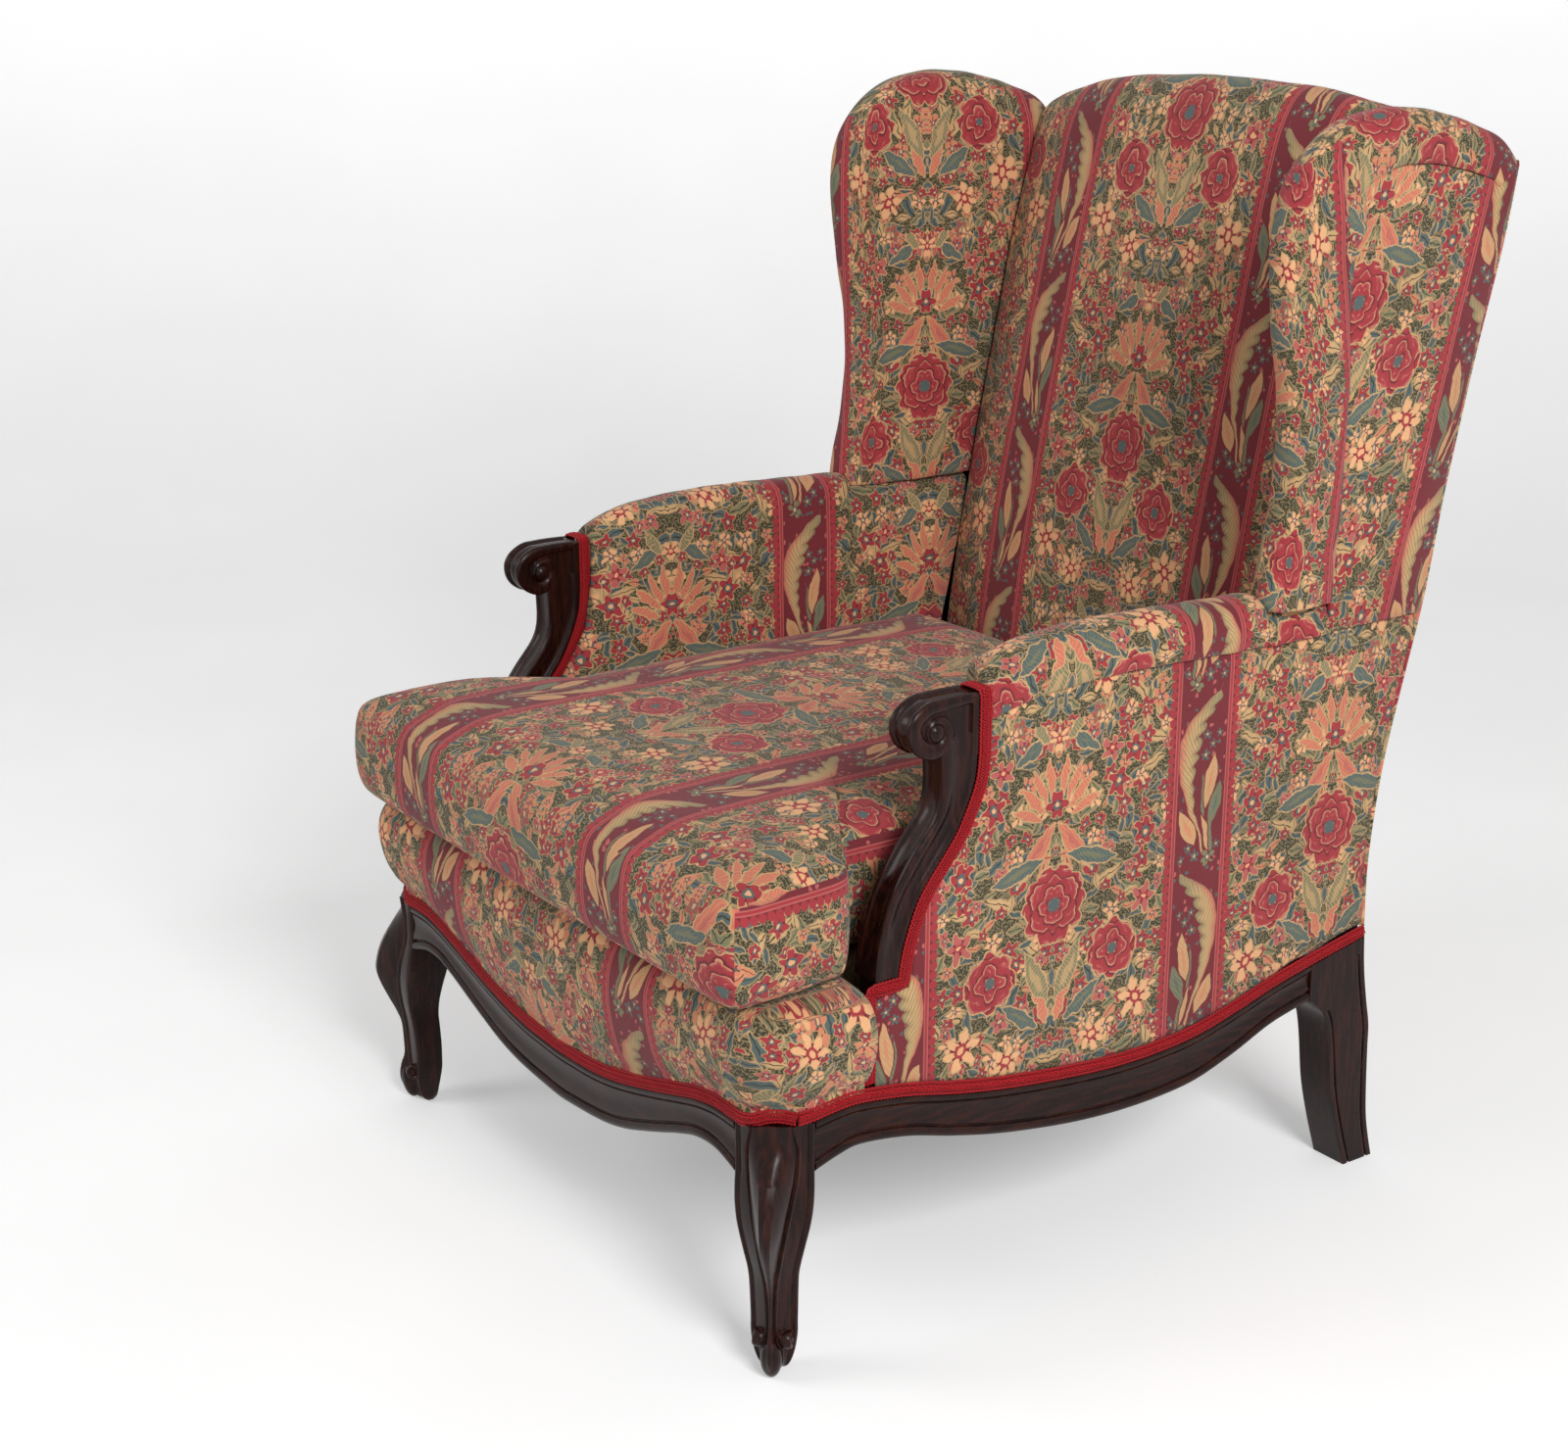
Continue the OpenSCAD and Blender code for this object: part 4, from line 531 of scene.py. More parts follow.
    def rose(self, where, row):
        net, tone = self.net, self.tone
        x, y, radius, rings, petals = row
        local = net.vectors("SUBTRACT", where, (x, y, 0.0))
        rose = net.group("rose", Local=local, Radius=radius, Rings=rings, Petals=petals)
        self.lay(net.within(net.less(rose["Field"], 0.0016)), tone["gold"])
        body = net.shades(rose["Fold"], self.stops(ROSE_TONES))
        body = net.blend(net.ramp(rose["Reach"], 0.22, 0.12), body, tone["teal"])
        self.lay(net.within(rose["Field"]), body)

    def borders(self, off, v, half):
        """Dots and thin lines along both edges of the stripe. Returns where its field is."""
        net, tone = self.net, self.tone
        beads = net.less(net.part(net.times(v, 1 / DOT_PITCH)), 0.5)
        middle = net.vector(net.less(off, half - DOT_IN), net.times(beads, DOT_PITCH))
        bead = net.less(net.vectors("LENGTH", middle), DOT_RADIUS)
        self.lay(net.within(net.less(off, half - BORDER_IN)), tone["burgundy"])
        self.lay(net.within(bead), tone["crimson"])
        for inset, shade in STRIPE_LINES:
            self.lay(net.within(net.less(off, half - inset)), tone[shade])
        return net.within(net.less(off, half - FIELD_IN))

    def berries(self, where, field):
        net = self.net
        local, (angle, pick, chance) = self.scatter(where, 0.0085, 31.3)
        berry = net.group("bloom", Local=local, Angle=angle, Radius=0.0024, Petals=1.0)
        gate = net.times(field, net.ramp(chance, EMPTY_OF_BERRIES, EMPTY_OF_BERRIES + GATE))
        self.lay(net.within(berry["Field"]), net.shades(pick, self.stops(BERRY_TONES), True), gate)

    def curled_leaf(self, x, y, field):
        """One large leaf: its spine swings out and back, and one side is cut into lobes and hatched."""
        net, tone = self.net, self.tone
        tip_over = net.ramp(y, 0.13, 0.168, 0.0, 0.017)
        swing = net.times(net.wave(net.times(net.less(y, 0.028), math.pi / 0.13)), 0.0175)
        side = net.less(x, net.less(swing, tip_over))
        past = net.sum("DIVIDE", net.most(net.less(y, 0.124), 0.0), 0.0405)
        cap = net.sum("SQRT", net.most(net.less(1.0, net.times(past, past)), 0.0))
        width = net.times(net.ramp(y, 0.03, 0.13, 0.0017, 0.0138), cap)
        lobe = net.size(net.wave(net.add(net.times(y, math.pi / 0.0135), net.times(side, 60.0))))
        cut = net.times(net.ramp(side, 0.001, -0.007), net.less(1.0, lobe))
        reach = net.times(width, net.less(1.0, net.times(cut, 0.42)))
        shape = net.less(net.size(side), reach)
        across = net.add(net.sum("DIVIDE", side, net.times(net.add(width, 0.0004), 2.0)), 0.5)
        body = net.shades(across, self.stops(CURL_TONES))
        hatch = net.wave(net.less(net.times(side, 1500.0), net.times(y, 1150.0)))
        body = net.blend(net.ramp(hatch, 0.1, 0.9, 0.0, 0.6), body, tone["sage"])
        body = net.blend(net.times(cut, 0.55), body, tone["ground"])
        body = net.blend(net.ramp(y, 0.135, 0.16, 0.0, 0.6), body, tone["sage"])
        self.lay(net.within(net.less(shape, 0.0012)), tone["burgundy"], field)
        self.lay(net.within(shape, 0.0005), body, field)


def tapestry_group():
    """Floral panels between burgundy stripes with curled leaves, from cloth coordinates in metres."""
    s = settings("tapestry")
    across, along = s.repeat_across, s.repeat_along
    tone = {name: tuple(getattr(s, name)) for name in TONES}
    net, given, finish = effect("tapestry", [("Cloth", "Vector", None)], [("Color", "Color"), ("Height", "Float")])
    u, v, _ = net.parts(given["Cloth"])
    panel = net.times(net.less(net.part(net.times(u, 1 / across)), 0.5), across)
    stripe = net.times(net.less(net.part(net.add(net.times(u, 1 / across), 0.5)), 0.5), across)

    # Panel: mirrored about its middle, every outline a little unsteady
    mirror = net.size(panel)
    raw = net.vector(mirror, v)
    stray_x, stray_y = net.stray(raw, 70.0, 0.012)
    mirrored_x, mirrored_y = net.add(mirror, stray_x), net.add(v, stray_y)
    place = net.vector(mirrored_x, mirrored_y)
    rise = net.times(net.less(net.part(net.times(mirrored_y, 1 / along)), 0.5), along)
    spot = net.vector(mirrored_x, rise)
    speck = net.noise(raw, 520.0, 0.0)
    draw = Drawing(net, tone, net.blend(net.ramp(speck, 0.5, 0.58), tone["ground"], tone["fleck"]))
    draw.strewn_leaves(place)
    draw.strewn_blooms(place)
    for row in PANEL_LEAVES:
        draw.leaves(spot, row)
    for row in PANEL_BLOOMS:
        draw.blooms(spot, row)
    for row in PANEL_ROSES:
        draw.rose(spot, row)

    # Stripe: between its borders, curled leaves that change sides at each half repeat
    field = draw.borders(net.size(stripe), v, s.stripe / 2)
    bend_x, bend_y = net.stray(given["Cloth"], 42.0, 0.009)
    run = net.times(net.add(v, bend_y), 2 / along)
    flip = net.less(1.0, net.times(net.part(net.times(net.sum("FLOOR", run), 0.5)), 4.0))
    cell_x = net.times(net.add(stripe, bend_x), flip)
    cell_y = net.times(net.part(run), along / 2)
    cell = net.vector(cell_x, cell_y)
    draw.berries(place, field)
    draw.blooms(cell, STRIPE_BLOOMS, "burgundy", field)
    for row in STRIPE_LEAVES:
        draw.leaves(cell, row, "burgundy", field)
    draw.curled_leaf(cell_x, cell_y, field)
    draw.blooms(cell, CURL_ENDS, "burgundy", field)

    tint = net.noise(given["Cloth"], 9.0, 3.0)
    thread = net.group("weave", Cloth=given["Cloth"], Thread=s.thread)
    # Random tone, with the weave's painted shade and painted light on top.
    lightness = net.add(net.ramp(tint, 0.3, 0.7, 0.9, 1.08, False), net.times(thread["Shade"], 0.16))
    dyed = net.blend(1.0, draw.colour, (0.99, 0.83, 0.77), "MULTIPLY")
    shaded = net.node("ShaderNodeHueSaturation", {"Color": dyed, "Value": lightness, "Saturation": 0.94})
    finish(Color=shaded.outputs[0], Height=thread["Height"])


def wear_group():
    """Where edges stand out, from the turn of a rounded normal against the true one."""
    net, given, finish = effect(
        "edge_wear", [("Radius", "Float", 0.002), ("Amount", "Float", 0.5)], [("Mask", "Float"), ("Normal", "Vector")]
    )
    rounded = net.node("ShaderNodeBevel", {"Radius": given["Radius"]}, samples=4)
    true = net.node("ShaderNodeNewGeometry")
    turn = net.less(1.0, net.vectors("DOT_PRODUCT", rounded.outputs[0], true.outputs["Normal"]))
    place = object_place(net)
    patch = net.noise(place, 34.0, 4.0, 0.65)
    rubbed = net.times(net.ramp(turn, 0.02, 0.16), net.ramp(patch, 0.46, 0.62))
    finish(Mask=net.times(rubbed, given["Amount"]), Normal=rounded.outputs[0])


def grain_group():
    """Long streaks and pores of wood along one axis of the piece."""
    net, given, finish = effect(
        "grain", [("Along", "Vector", (1, 1, 12)), ("Scale", "Float", 1.0)], [("Streak", "Float"), ("Pore", "Float")]
    )
    place = object_place(net)
    scaled = net.vectors("SCALE", net.vectors("MULTIPLY", place, given["Along"]), scale=given["Scale"])
    streak = net.noise(scaled, 14.0, 5.0, 0.6)
    pore = net.noise(scaled, 120.0, 2.0, 0.7)
    finish(Streak=streak, Pore=net.ramp(pore, 0.56, 0.7))


def new_material(name, **constants):
    """Net and Principled shader of a new material, the shader's constant values set on its own sockets."""
    made = bpy.data.materials.new(name)
    FINISHES[name] = made
    made.use_nodes = True
    net = Net(made.node_tree)
    shader = made.node_tree.nodes["Principled BSDF"]
    for key, value in constants.items():
        net.feed(value, shader.inputs[key.replace("_", " ")])
    return net, shader


def emboss(net, shader, height, strength, distance, normal=None):
    bump = net.node("ShaderNodeBump", {"Height": height, "Strength": strength, "Distance": distance, "Normal": normal})
    net.feed(bump.outputs[0], shader.inputs["Normal"])


def cloth_place(net):
    """Cloth coordinates in metres."""
    return net.node("ShaderNodeUVMap", uv_map="cloth").outputs[0]


def object_place(net):
    """Place on the piece, in metres, which moves with it."""
    return net.node("ShaderNodeTexCoord").outputs["Object"]


def make_tapestry():
    net, shader = new_material("tapestry", Specular_IOR_Level=0.25, Sheen_Weight=0.12, Sheen_Roughness=0.5)
    pattern = net.group("tapestry", Cloth=cloth_place(net))
    net.feed(pattern["Color"], shader.inputs["Base Color"])
    net.feed(net.ramp(pattern["Height"], -1.0, 1.0, 0.9, 0.74, False), shader.inputs["Roughness"])
    emboss(net, shader, pattern["Height"], 0.35, 0.0005)


# How much the grain is squeezed along each axis of the piece
GRAIN_AXES = (
    ("mahogany_upright", (14, 14, 1.6)), ("mahogany_across", (1.6, 14, 14)), ("mahogany_deep", (14, 1.6, 14))
)
PORE = (0.004, 0.003, 0.003)


def make_mahogany():
    """Dark polish over streaks and pores, rubbed through to lighter wood on the edges."""
    s = settings("wood")
    for name, axis in GRAIN_AXES:
        net, shader = new_material(name, Coat_Weight=0.07, Coat_Roughness=0.07, Specular_IOR_Level=0.14)
        grain = net.group("grain", Along=axis)
        wear = net.group("edge_wear", Radius=0.0022, Amount=s.wear)
        body = net.blend(net.ramp(grain["Streak"], 0.4, 0.66), tuple(s.polish), tuple(s.figure))
        body = net.blend(net.times(grain["Pore"], 0.4), body, PORE)
        body = net.blend(wear["Mask"], body, tuple(s.worn))
        net.feed(body, shader.inputs["Base Color"])
        uneven = net.ramp(grain["Streak"], 0.3, 0.7, s.gloss, s.gloss + 0.12, False)
        net.feed(net.add(uneven, net.times(wear["Mask"], 0.25)), shader.inputs["Roughness"])
        emboss(net, shader, grain["Pore"], 0.06, 0.0003, wear["Normal"])


def make_beech():
    net, shader = new_material("beech", Specular_IOR_Level=0.35)
    grain = net.group("grain", Along=(1.2, 8, 8), Scale=1.6)
    body = net.blend(net.ramp(grain["Streak"], 0.35, 0.68), tuple(settings("wood").beech), dye(158, 118, 78))
    body = net.blend(net.times(grain["Pore"], 0.35), body, dye(120, 84, 54))
    net.feed(body, shader.inputs["Base Color"])
    net.feed(net.ramp(grain["Streak"], 0.3, 0.7, 0.55, 0.72, False), shader.inputs["Roughness"])


def make_silk():
    """Crimson of the braid, with painted shade between its twisted threads and painted light on their crowns."""
    s = settings("braid")
    net, shader = new_material("gimp_silk", Specular_IOR_Level=0.3, Sheen_Weight=0.06, Sheen_Roughness=0.4)
    u, v, _ = net.parts(cloth_place(net))
    twist = net.wave(net.add(net.times(u, 5200.0), net.times(v, 4200.0)))
    fuzz = net.noise(object_place(net), 900.0, 2.0)
    # Painted shade between the twisted threads and painted light on their crowns, mixed with fibre that differs at
    # random.
    painted_shade_and_fibre = net.ramp(net.add(twist, net.times(fuzz, 1.2)), -0.5, 1.4)
    net.feed(net.blend(painted_shade_and_fibre, tuple(s.shade), tuple(s.silk)), shader.inputs["Base Color"])
    net.feed(net.ramp(fuzz, 0.3, 0.7, 0.45, 0.7, False), shader.inputs["Roughness"])
    emboss(net, shader, twist, 0.5, 0.0004)


# Plain cloths: thread in painted light and in painted shade of the weave, and pitch of the weave
PLAIN_CLOTHS = (
    ("linen", (178, 158, 122), (128, 108, 78), 0.0016),
    ("jute", (156, 128, 88), (104, 80, 50), 0.0028),
    ("cambric", (34, 33, 34), (16, 16, 17), 0.0009),
)


def make_plain_cloths():
    for name, light, dark, thread in PLAIN_CLOTHS:
        net, shader = new_material(name, Specular_IOR_Level=0.2, Sheen_Weight=0.1)
        cloth = cloth_place(net)
        threads = net.group("weave", Cloth=cloth, Thread=thread)
        fibre = net.noise(cloth, 60.0, 4.0, 0.7)
        # Painted shade and painted light of the weave's relief, mixed with fibre that differs at random.
        painted_shade_and_fibre = net.ramp(net.add(threads["Shade"], net.less(fibre, 0.5)), -0.6, 0.6)
        net.feed(net.blend(painted_shade_and_fibre, dye(*dark), dye(*light)), shader.inputs["Base Color"])
        net.feed(net.ramp(threads["Height"], -1.0, 1.0, 0.95, 0.8, False), shader.inputs["Roughness"])
        emboss(net, shader, threads["Height"], 0.6, 0.0006)


# Metals: clean and stained colour, and roughness where clean
METALS = (
    ("spring_wire", (112, 108, 100), (74, 62, 52), 0.38),
    ("zinc_screw", (178, 172, 158), (112, 104, 92), 0.3),
)


def make_metals():
    for name, light, dark, rough in METALS:
        net, shader = new_material(name, Metallic=1.0)
        stain = net.noise(object_place(net), 130.0, 5.0, 0.7)
        net.feed(net.blend(net.ramp(stain, 0.42, 0.64), dye(*light), dye(*dark)), shader.inputs["Base Color"])
        net.feed(net.ramp(stain, 0.3, 0.7, rough, rough + 0.25, False), shader.inputs["Roughness"])


def make_materials():
    for make in (leaf_group, bloom_group, rose_group, weave_group, tapestry_group, wear_group, grain_group,
                 make_tapestry, make_mahogany, make_beech, make_silk, make_plain_cloths, make_metals):
        make()


def finish_with(piece, node, material, body="frame"):
    """Gives a piece its finish and its body, and lets it stand for its CAD node."""
    piece.data.materials.clear()
    piece.data.materials.append(FINISHES[material])
    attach(piece, body)
    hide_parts(node)


def dress_node(name, material):
    """Better material for a CAD node whose shape is right."""
    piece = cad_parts[name]
    for place in piece.material_slots:
        place.material = FINISHES[material]
    if not piece.material_slots:
        piece.data.materials.append(FINISHES[material])


# Forms


# Points nearer than this are one, and edges shorter than half of it are none
WELD = 2e-5
# Two triangles are one quad where they turn less than this
FLAT = math.radians(70)


def new_piece(name, points, faces):
    mesh = bpy.data.meshes.new(name)
    mesh.from_pydata([tuple(p) for p in points], [], [tuple(f) for f in faces])
    mesh.validate()
    mesh.update()
    piece = bpy.data.objects.new(name, mesh)
    bpy.context.scene.collection.objects.link(piece)
    mesh.polygons.foreach_set("use_smooth", [True] * len(mesh.polygons))
    return piece


def cage_of(node, name, crease_angle, crease):
    """Copy of a CAD node's mesh, welded, with its grid of quads found again and its edges creased."""
    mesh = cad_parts[node].data.copy()
    mesh.name = name
    work = bmesh.new()
    work.from_mesh(mesh)
    bmesh.ops.remove_doubles(work, verts=work.verts, dist=WELD)
    bmesh.ops.dissolve_degenerate(work, edges=work.edges, dist=WELD / 2)
    bmesh.ops.join_triangles(work, faces=work.faces, angle_face_threshold=FLAT, angle_shape_threshold=FLAT)
    bmesh.ops.recalc_face_normals(work, faces=work.faces)
    layer = work.edges.layers.float.get("crease_edge") or work.edges.layers.float.new("crease_edge")
    limit = math.radians(crease_angle)
    for edge in work.edges:
        turn = edge.calc_face_angle(0.0)
        edge[layer] = crease if turn > limit else 0.0
        edge.smooth = True
    for face in work.faces:
        face.smooth = True
    work.to_mesh(mesh)
    work.free()
    mesh.materials.clear()
    piece = bpy.data.objects.new(name, mesh)
    bpy.context.scene.collection.objects.link(piece)
    return piece


def subdivide(piece, levels):
    modifier = piece.modifiers.new("round", "SUBSURF")
    modifier.levels = modifier.render_levels = levels
    bake_modifiers(piece)


def bake_modifiers(piece):
    """Makes the shape that the modifiers give the piece's own mesh."""
    shape = piece.evaluated_get(bpy.context.evaluated_depsgraph_get())
    mesh = bpy.data.meshes.new_from_object(shape)
    old = piece.data
    piece.modifiers.clear()
    piece.data = mesh
    mesh.name = old.name
    bpy.data.meshes.remove(old)


def points_of(piece, what="co"):
    flat = np.zeros(len(piece.data.vertices) * 3, np.float32)
    piece.data.vertices.foreach_get(what, flat)
    return flat.reshape(-1, 3).astype(float)


def normals_of(piece):
    return points_of(piece, "normal")


def move_points(piece, points):
    piece.data.vertices.foreach_set("co", points.astype(np.float32).ravel())
    piece.data.update()


def corners_of(piece):
    """Number of the point at each corner of each face."""
    corners = np.zeros(len(piece.data.loops), np.int32)
    piece.data.loops.foreach_get("vertex_index", corners)
    return corners


def set_cloth(piece, u, v):
    mesh = piece.data
    layer = mesh.uv_layers.get("cloth") or mesh.uv_layers.new(name="cloth")
    layer.data.foreach_set("uv", np.stack([u, v], 1).astype(np.float32).ravel())


def lay_cloth(piece, mapping):
    """Cloth coordinates in metres for every corner: mapping takes points and face normals."""
    mesh = piece.data
    totals = np.zeros(len(mesh.polygons), np.int32)
    mesh.polygons.foreach_get("loop_total", totals)
    facing = np.zeros(len(mesh.polygons) * 3, np.float32)
    mesh.polygons.foreach_get("normal", facing)
    facing = np.repeat(facing.reshape(-1, 3), totals, axis=0)
    set_cloth(piece, *mapping(points_of(piece)[corners_of(piece)], facing))


def along_path(path, points):
    """Distance along a polyline for the nearest place on it to each point, both in a plane."""
    path = np.array(path, float)
    starts, ends = path[:-1], path[1:]
    spans = ends - starts
    sizes = np.linalg.norm(spans, axis=1)
    before = np.concatenate([[0.0], np.cumsum(sizes)])[:-1]
    best = np.full(len(points), 1e9)
    place = np.zeros(len(points))
    for start, span, size, run in zip(starts, spans, sizes, before):
        t = np.clip(((points - start) @ span) / size**2, 0, 1)
        gap = np.linalg.norm(points - start - t[:, None] * span, axis=1)
        near = gap < best
        best[near] = gap[near]
        place[near] = run + t[near] * size
    return place


UNEVEN_LENGTH = 0.03


def cushioned(points, facing, amount, seed):
    """Slow unevenness of stuffing under a cover, along the normals."""
    x, y, z = (points / UNEVEN_LENGTH).T
    wave = np.sin(x * 1.3 + y * 2.1 + seed) * np.sin(y * 1.7 - z * 1.1 + seed * 2)
    wave = wave + 0.5 * np.sin(z * 2.9 + x * 2.3 + seed)
    return points + facing * (wave * amount)[:, None]


def stuffed(node, name, crease_angle, crease, levels, ease=0.0, uneven=0.0006, tuck=None):
    """Smooth padded form over a CAD cage, eased out a little to make up for the rounding."""
    piece = cage_of(node, name, crease_angle, crease)
    if tuck:
        move_points(piece, tuck(points_of(piece)))
    subdivide(piece, levels)
    points = points_of(piece)
    facing = normals_of(piece)
    move_points(piece, cushioned(points + facing * ease, facing, uneven, float(len(name))))
    return piece


def stretched(node, name, tuck=None):
    """Cover pulled flat over its CAD cage."""
    return stuffed(node, name, 60, 0.8, 2, 0.0, 0.0, tuck)


def filled(piece, reach, hold):
    """Lets the stuffing push the cover out in a short cloth simulation, no point further than the reach."""
    s = settings("stuffing")
    scene = bpy.context.scene
    rest = points_of(piece)
    move_points(piece, rest - normals_of(piece) * s.shrink)
    cloth = piece.modifiers.new("filling", "CLOTH")
    values = cloth.settings
    values.quality, values.mass = 6, 0.2
    values.tension_stiffness = values.compression_stiffness = 12
    values.shear_stiffness, values.bending_stiffness = 4, 0.35
    # The cover is cut a little larger than the form, so that it wrinkles slightly
    values.shrink_min = -0.035
    values.use_pressure = True
    values.uniform_pressure_force = s.pressure
    values.effector_weights.gravity = 0
    cloth.point_cache.frame_start, cloth.point_cache.frame_end = 1, s.frames
    for at in range(1, s.frames + 1):
        scene.frame_set(at)
    shape = piece.evaluated_get(bpy.context.evaluated_depsgraph_get())
    flat = np.zeros(len(rest) * 3, np.float32)
    shape.data.vertices.foreach_get("co", flat)
    piece.modifiers.clear()
    scene.frame_set(1)
    push = flat.reshape(-1, 3) - rest
    size = np.linalg.norm(push, axis=1)
    push *= (np.minimum(size, reach) / np.maximum(size, 1e-9))[:, None]
    move_points(piece, hold(rest, rest + push))


def carved(node, name, material):
    """Show-wood with its mouldings kept crisp and its sweeps smooth."""
    piece = cage_of(node, name, 26, 1.0)
    subdivide(piece, 2)
    mark_sharp(piece, 34)
    finish_with(piece, node, material)


def mark_sharp(piece, degrees):
    """Keeps the shading crisp over edges that turn by this much or more."""
    work = bmesh.new()
    work.from_mesh(piece.data)
    for edge in work.edges:
        edge.smooth = edge.calc_face_angle(0.0) < math.radians(degrees)
    work.to_mesh(piece.data)
    work.free()


# Show-wood, drawn in millimetres

MM = 0.001
ROOT_HALF = math.sqrt(0.5)
# Thickness of the rails, tops of the rails and of the knee, size of a leg's block and of its bead
RAIL_T, RAIL_TOP, KNEE_TOP, BLOCK, BEAD = 30, 262, 231, 50, 7
# Half the front rail between its legs, and the two ends of a side rail
HALF_RAIL, SIDE_FROM, SIDE_TO = 294.8, -349.8, 239.8
# Outer face of the side rails and front face of the front rail
OUTER, FRONT = 345, -400
# Turn of an edge, in degrees, from which its shading is crisp
CRISP = 32
# Place along the rail, lower edge and upper edge of its moulding
FRONT_EDGES = ((0, 135, 182), (29.5, 136.7, 183.2), (59, 139.1, 185), (88.5, 143.2, 189), (118, 150.5, 195.1),
               (147.5, 160.6, 202.6), (177, 171.5, 210.7), (206.5, 182.8, 219.4), (236, 191.7, 227.4),
               (265.5, 192.5, 231.7), (295, 183.7, 231))
SIDE_EDGES = ((-350, 190.2, 236.7), (-325, 198, 239.4), (-300.8, 201.4, 239.5), (-251.7, 194, 232),
              (-202.5, 179.9, 220.2), (-153.3, 167.5, 210.3), (-104.2, 158.3, 203), (-55, 151.3, 197.2),
              (-5.8, 147.5, 193.5), (43.3, 147.4, 193.7), (92.5, 152, 198.2), (141.7, 166.4, 209.2),
              (190.8, 184.7, 222.4), (240, 195.1, 232.5))
# How far out, share of the height of the moulding with 2 for the rail's top, and height from there
RAIL_SECTION = ((0, 0, 7), (19, 0, 1.4), (25, 0, -0.6), (28.2, 0, 0.4), (29.6, 0, 2.2), (30, 0, 4.4), (29.7, 0, 6.6),
                (28.4, 0, 8.6), (26.4, 0, 9.4), (26.0, 0, 10.4), (26.6, 0, 11.2), (28.3, 0, 12.0), (28.4, 0.36, 0),
                (27.4, 0.46, 0), (27.0, 0.58, 0), (27.5, 0.7, 0), (28.5, 1, -7.4), (26.8, 1, -6.6), (26.6, 1, -5.6),
                (29.4, 1, -4.9), (30, 1, -3.2), (29.9, 1, -1.2), (29, 1, 0), (21, 1, 0.2), (21, 2, 0), (0, 2, 0))
# Front leg by share of the knee's height: tip, width of its leaf, face and inner edge, as shares of the block
LEG_SHARES = (
    (0, 0.36, 0.06, 0.4, 0.62), (0.022, 0.2, 0.09, 0.28, 0.66), (0.06, 0.08, 0.13, 0.2, 0.69),
    (0.11, 0.045, 0.14, 0.15, 0.725), (0.165, 0.075, 0.1, 0.135, 0.755), (0.215, 0.13, 0.05, 0.14, 0.76),
    (0.285, 0.13, 0.05, 0.13, 0.76), (0.37, 0.11, 0.07, 0.1, 0.745), (0.43, 0.035, 0.1, 0.06, 0.735),
    (0.495, -0.08, 0.15, 0, 0.76), (0.57, -0.2, 0.21, -0.05, 0.82), (0.63, -0.25, 0.26, -0.07, 0.88),
    (0.695, -0.22, 0.31, -0.06, 0.94), (0.76, -0.15, 0.36, -0.03, 0.98), (0.825, -0.04, 0.4, 0, 1),
    (0.89, 0.09, 0.42, 0, 1), (0.945, 0.2, 0.41, 0, 1), (1, 0.26, 0.33, 0, 1))
# Arm support by height: rear edge and front edge of its blade
BLADE = ((345, -262.1, -286), (354.9, -260.7, -285.9), (364.9, -258.7, -284.5), (374.8, -255.8, -282.7),
         (384.8, -252.4, -280.5), (394.7, -248.6, -277.9), (404.7, -244.2, -274.9), (414.6, -238.1, -270.7),
         (424.6, -230.6, -265), (434.5, -222.4, -258.3), (444.4, -214.2, -251.4), (454.4, -206.3, -243.6),
         (464.3, -199.9, -234.9), (474.3, -194.8, -226.5), (484.2, -190.1, -221), (494.2, -185.9, -218.4),
         (504.1, -182.7, -217.6), (514.1, -181, -217.8), (530, -180, -218.5), (548, -180, -219))
BLADE_IN, BLADE_OUT = 310, 341
# Moulding of the blade's side, from its rear edge: share of its depth, and how far under its face
BLADE_SIDE = ((0, 1.8), (0.03, 0.5), (0.09, 0), (0.16, 0.3), (0.21, 2.0), (0.26, 3.2), (0.4, 3.9), (0.55, 3.3),
              (0.68, 1.6), (0.78, 0.4), (0.87, 0), (0.94, 0.6), (0.985, 2.2))
# Hollow of its front, from its outer edge: share of its width, and how far behind its front
BLADE_FORE = ((0.16, 0), (0.2, 0.4), (0.24, 1.7), (0.28, 2.4), (0.38, 3.1), (0.5, 3.4), (0.62, 3.1), (0.72, 2.4),
              (0.76, 1.7), (0.8, 0.4), (0.84, 0))
# Middle of the volute's eye, behind the chair's middle and above the floor
EYE = (-224, 554)
# Volute by angle in degrees from the back over the top: reach of its band from the eye
VOLUTE = ((90, 28.6), (100, 28.8), (122, 29.2), (144, 30.6), (162, 31.2), (180, 30), (204, 27.6), (230, 25),
          (262, 23.4), (285, 22.2), (315, 20.4), (360, 18.2), (405, 16.2), (450, 14.4), (495, 12.8), (540, 11.4),
          (585, 10.2), (630, 9.2), (675, 8.4), (720, 7.8))
# Turned forms, as rows of radius and height: the eye, and the knob of a toe
EYE_TURNING = ((0.01, 17.6), (3, 17.2), (5.6, 16), (7.4, 14.4), (8.2, 12), (8.2, -12), (7.4, -14.4), (5.6, -16),
               (3, -17.2), (0.01, -17.6))
KNOB = ((0.01, 5.2), (1.8, 5.0), (2.9, 3.9), (3.7, 2.7), (4.5, 3.4), (5.9, 4.6), (7.2, 4.2), (8.3, 2.6), (8.7, 0.4),
        (8.4, -3), (7, -8), (4, -11))
# Outline of a front leg's block from above
LEG_BLOCK = ((HALF_RAIL + 0.2, -391), (311, -391), (336, -366), (336, -350), (HALF_RAIL + 0.2, -350))
# Foot of an arm support from above
SUPPORT_FOOT = ((314.4, -283.5), (335.6, -283.5), (335.6, -252), (314.4, -252))


